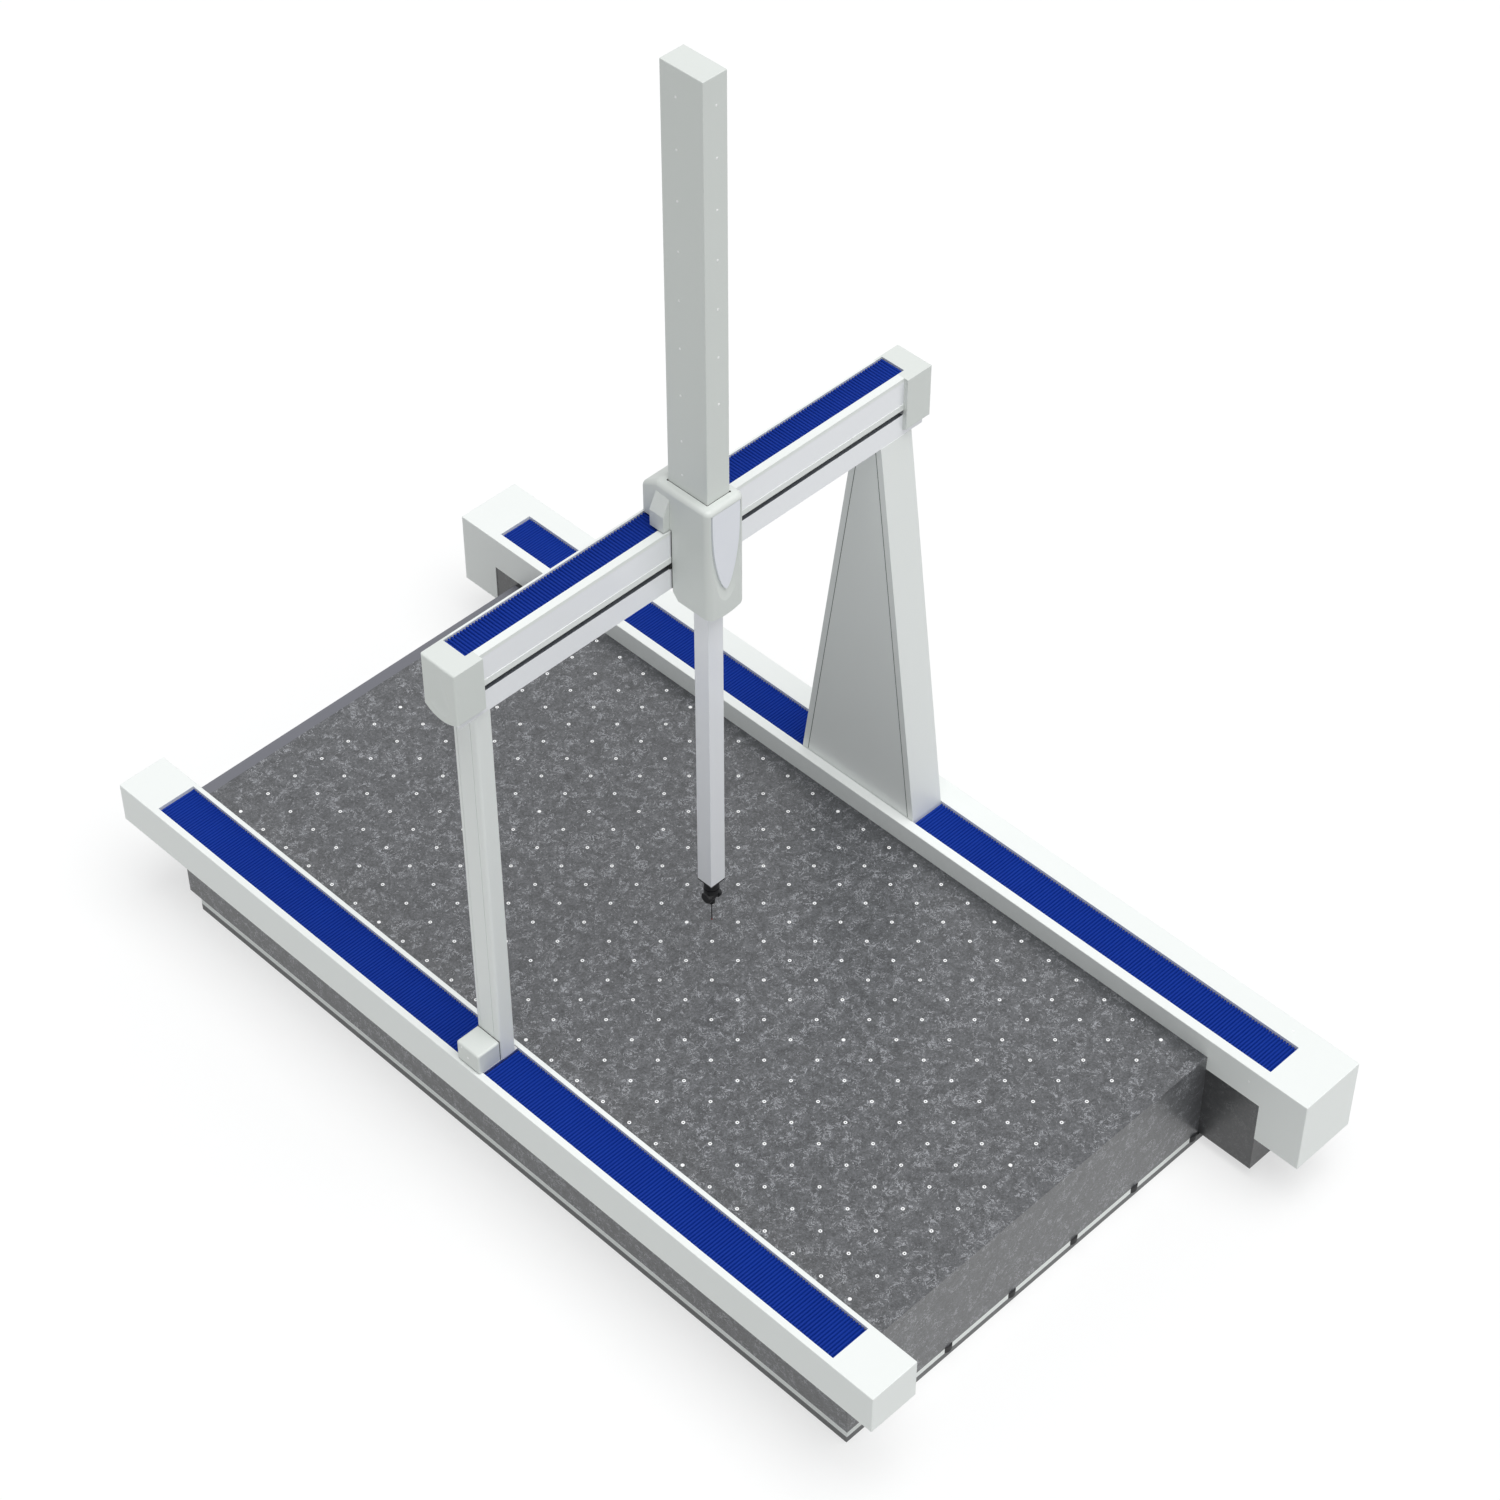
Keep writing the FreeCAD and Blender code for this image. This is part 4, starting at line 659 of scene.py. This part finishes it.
def make_bellows(node, along, moving_end):
    """Folded cloth in the place of a CAD bellows node, split into lengths at the fold shares."""
    low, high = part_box(node)
    fixed_at, moving_at = (high[along], low[along]) if moving_end == "low" else (low[along], high[along])
    length = high[along] - low[along]
    count = round(length / pleat_pitch)
    step = math.copysign(length / count, moving_at - fixed_at)
    marks = [round(share * count) for share in fold_shares()]
    for number, (first, last) in enumerate(zip(marks, marks[1:])):
        cloth = folded_cloth(low, high, along, fixed_at + (first + 0.5) * step, step, last - first)
        rename(cloth, "%s_fold_%d" % (node, number + 1))
        coat(cloth, "bellows_cloth")
        for share in blend_ends(first / count, last / count):
            point = (low + high) / 2
            point[along] = fixed_at + (moving_at - fixed_at) * share
        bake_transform(cloth)
        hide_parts(node)


def make_all_bellows():
    for side in ("near", "far"):
        make_bellows(side + "_bellows_front", along_y, "high")
        make_bellows(side + "_bellows_rear", along_y, "low")
    make_bellows("beam_bellows_near", along_x, "high")
    make_bellows("beam_bellows_far", along_x, "low")


def make_screw(name, place, facing, body, finish="insert_steel"):
    """A low button-head screw with a round socket, standing on a cover."""
    deselect()
    bpy.ops.mesh.primitive_circle_add(vertices=screw_sides, radius=screw_radius, fill_type="NGON")
    screw = bpy.context.object
    open_mesh(screw)
    extrude_up(screw_head / 2)
    bpy.ops.mesh.inset(thickness=screw_radius * screw_rim_share)
    bpy.ops.transform.translate(value=(0, 0, screw_head / 2))
    bpy.ops.mesh.inset(thickness=screw_radius * (1 - screw_rim_share) - screw_socket)
    extrude_up(-screw_head * screw_socket_share)
    close_mesh()
    screw.rotation_euler = Vector(facing).to_track_quat("Z", "Y").to_euler()
    screw.location = place
    settle(screw)
    face_outward(screw)
    finish_piece(screw, name, body, finish)


def make_column_screws():
    """A row of screws down the column's left side, and a shorter one down its front."""
    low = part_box("column_cover")[0]
    lowest = column_screw_top - column_lowest_screw * column_screw_pitch
    for row in range(column_side_rows):
        z = max(column_screw_top - row * column_screw_pitch, lowest)
        make_screw("column_side_screw_%d" % (row + 1), (low.x, column_screw_y, z), to_left, "carriage")
        if row < column_front_rows:
            place = (column_screw_x, low.y, z)
            make_screw("column_front_screw_%d" % (row + 1), place, to_front, "carriage")


def make_small_screws():
    """Screws of the far end box and the foot cover, and the plugs at the column's foot."""
    box_low, box_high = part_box("far_end_boxes")
    make_screw("far_box_top_screw", (*box_top_screw, box_high.z), upward, "table")
    make_screw("far_box_side_screw", (box_low.x, *box_side_screw), to_left, "table")
    foot_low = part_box("left_foot_cover")[0]
    for number, (y, rise) in enumerate(foot_screw_places):
        place = (foot_low.x, y, foot_low.z + rise)
        make_screw("foot_cover_screw_%d" % (number + 1), place, to_left, "bridge")
    column_low, column_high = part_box("column_cover")
    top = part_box("carriage_housing")[1].z
    for side, x, y in (("left", column_low.x, column_high.y), ("right", column_high.x, column_low.y)):
        make_screw("column_plug_" + side, (x, y, top), upward, "carriage", "seal_black")


def make_seal(name, start, end, width, height, facing, body, finish="seal_black"):
    """A soft-edged strip from start to end, on a face that looks along facing."""
    start, end, face = Vector(start), Vector(end), Vector(facing)
    along = (end - start).normalized()
    deselect()
    bpy.ops.mesh.primitive_cube_add(size=1.0)
    strip = bpy.context.object
    strip.scale = ((end - start).length, width, height)
    strip.rotation_euler = Matrix((along, face.cross(along), face)).transposed().to_euler()
    strip.location = (start + end) / 2
    settle(strip)
    apply(strip, "BEVEL", width=seal_edge_share * height, segments=2)
    face_outward(strip)
    smooth(strip, strip_smooth_angle)
    finish_piece(strip, name, body, finish)


def make_slot_lining():
    """The dark lining of the slot in the beam's front."""
    beam_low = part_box("crossbeam")[0]
    strip_low, strip_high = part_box("beam_cover_strips")
    slot_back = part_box("x_scale")[0].y
    middle = (beam_low.y + slot_back) / 2
    z = beam_low.z + beam_slot_rise + slot_lining_height / 2
    width = slot_back - beam_low.y - 2 * slot_lining_inset
    make_seal("beam_slot_lining", (strip_low.x, middle, z), (strip_high.x, middle, z), width,
              slot_lining_height, upward, "bridge", "slot_lining")


def make_wipers():
    """The carriage's wipers on the beam, a long one and one over the slot on each side."""
    beam_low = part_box("crossbeam")[0]
    strip_low, strip_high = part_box("beam_cover_strips")
    housing_low, housing_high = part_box("carriage_housing")
    y = strip_low.y - wiper_gap / 2
    slot_low = beam_low.z + beam_slot_rise
    for side, outward, edge in (("near", -1, housing_low.x), ("far", 1, housing_high.x)):
        x = edge + outward * wiper_width / 2
        make_seal("beam_wiper_" + side, (x, y, beam_low.z + seal_width), (x, y, strip_high.z),
                  wiper_width, wiper_width / 2, to_front, "carriage")
        x += outward * slot_wiper_width / 2
        make_seal("slot_wiper_" + side, (x, y, slot_low), (x, y, slot_low + beam_slot_height),
                  slot_wiper_width, wiper_width / 2, to_front, "carriage")


def make_column_seals():
    """Rubber round the column's foot."""
    low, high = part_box("column_cover")
    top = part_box("carriage_housing")[1].z
    x = low.x - seal_width / 3
    y = low.y - seal_width / 3
    make_seal("column_seal_side", (x, low.y, top), (x, high.y, top),
              seal_width / 2, seal_height, upward, "carriage")
    make_seal("column_seal_front", (low.x, y, top), (high.x, y, top),
              seal_width / 2, seal_height, upward, "carriage")


def make_foot_seals():
    """Rubber between the foot cover and the left leg, down to the guide covers' tops."""
    low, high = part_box("left_foot_cover")
    cover_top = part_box("far_end_boxes")[1].z
    x = high.x - seal_width / 2
    make_seal("foot_seal_top", (x, low.y, high.z), (x, high.y, high.z),
              seal_width, seal_height, upward, "bridge")
    make_seal("foot_seal_front", (x, low.y, cover_top), (x, low.y, high.z),
              seal_width, seal_height, to_front, "bridge")


def make_leg_seams():
    """The two sloping joints beside the right leg's panel."""
    low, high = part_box("right_leg_panels")
    x = low.x - seal_proud
    for name, side in (("front", -1), ("rear", 1)):
        make_seal("right_leg_seam_" + name, (x, side * high.y, low.z), (x, side * panel_top_half, high.z),
                  seal_width, 2 * seal_proud, to_left, "bridge", "seam_grey")


def shader(tree, kind, **inputs):
    """A new node in a plain node tree, with these inputs set."""
    made = tree.nodes.new(kind)
    for name, value in inputs.items():
        made.inputs[name].default_value = value
    return made


def mix_shaders(tree, share, first, second):
    """A Mix Shader from first to second. Its share is a number or an output socket."""
    mixed = tree.nodes.new("ShaderNodeMixShader")
    if isinstance(share, float):
        mixed.inputs[0].default_value = share
    else:
        tree.links.new(share, mixed.inputs[0])
    tree.links.new(first.outputs[0], mixed.inputs[1])
    tree.links.new(second.outputs[0], mixed.inputs[2])
    return mixed


def direct_ray(tree):
    """1 for a ray from the camera, also through glass or off a gloss."""
    path = tree.nodes.new("ShaderNodeLightPath")
    total = path.outputs["Is Camera Ray"]
    for name in ("Is Glossy Ray", "Is Transmission Ray"):
        add = tree.nodes.new("ShaderNodeMath")
        add.operation = "ADD"
        add.use_clamp = True
        tree.links.new(total, add.inputs[0])
        tree.links.new(path.outputs[name], add.inputs[1])
        total = add.outputs[0]
    return total


def studio_floor():
    """A pale floor that shows white to the camera and still takes a soft shadow."""
    deselect()
    bpy.ops.mesh.primitive_plane_add(size=floor_size, location=(0, 0, -floor_drop))
    floor = bpy.context.object
    floor.name = "studio_floor"
    material = bpy.data.materials.new("studio_floor")
    material.use_nodes = True
    tree = material.node_tree
    tree.nodes.clear()
    lit = shader(tree, "ShaderNodeBsdfDiffuse", Color=opaque(floor_tone))
    glow = shader(tree, "ShaderNodeEmission", Color=opaque(white), Strength=1.0)
    bounce = shader(tree, "ShaderNodeBsdfDiffuse", Color=opaque(floor_bounce_tone))
    seen = mix_shaders(tree, floor_glow_share, lit, glow)
    split = mix_shaders(tree, direct_ray(tree), bounce, seen)
    out = shader(tree, "ShaderNodeOutputMaterial")
    tree.links.new(split.outputs[0], out.inputs["Surface"])
    floor.data.materials.append(material)


def studio_room():
    """An even pale room, white to the camera."""
    world = bpy.data.worlds.new("studio")
    bpy.context.scene.world = world
    world.use_nodes = True
    tree = world.node_tree
    tree.nodes.clear()
    room = shader(tree, "ShaderNodeBackground", Color=opaque(room_tone), Strength=room_strength)
    backdrop = shader(tree, "ShaderNodeBackground", Color=opaque(white), Strength=1.0)
    split = mix_shaders(tree, direct_ray(tree), room, backdrop)
    out = shader(tree, "ShaderNodeOutputWorld")
    tree.links.new(split.outputs[0], out.inputs["Surface"])


def studio_sun():
    """Soft overhead light from the front."""
    lamp = bpy.data.lights.new("overhead", "SUN")
    lamp.energy = sun_strength
    lamp.angle = sun_spread
    overhead = bpy.data.objects.new("overhead", lamp)
    overhead.rotation_euler = Vector(sun_direction).to_track_quat("Z", "Y").to_euler()
    bpy.context.scene.collection.objects.link(overhead)


def studio_camera():
    data = bpy.data.cameras.new("camera")
    data.lens = camera_lens
    data.sensor_width = sensor_width
    data.clip_end = camera_reach
    camera = bpy.data.objects.new("camera", data)
    camera.location = camera_place
    camera.rotation_euler = Vector(camera_aim).to_track_quat("-Z", "Y").to_euler()
    bpy.context.scene.collection.objects.link(camera)
    bpy.context.scene.camera = camera


bpy.context.view_layer.update()
slots = {row["node"]: row["material_slot"] for row in frame["record"]["subparts"]}
for node_name, node in frame["nodes"].items():
    coat(node, slots[node_name])
# Painted shade: the guide beam takes the darker copy of the granite.
coat(frame["nodes"]["guide_beam"], "granite_beam_painted_shade")

make_inserts()
make_all_bellows()
make_column_screws()
make_small_screws()
make_slot_lining()
make_wipers()
make_column_seals()
make_foot_seals()
make_leg_seams()

studio_floor()
studio_room()
studio_sun()
studio_camera()
bpy.context.scene.view_settings.view_transform = "Standard"
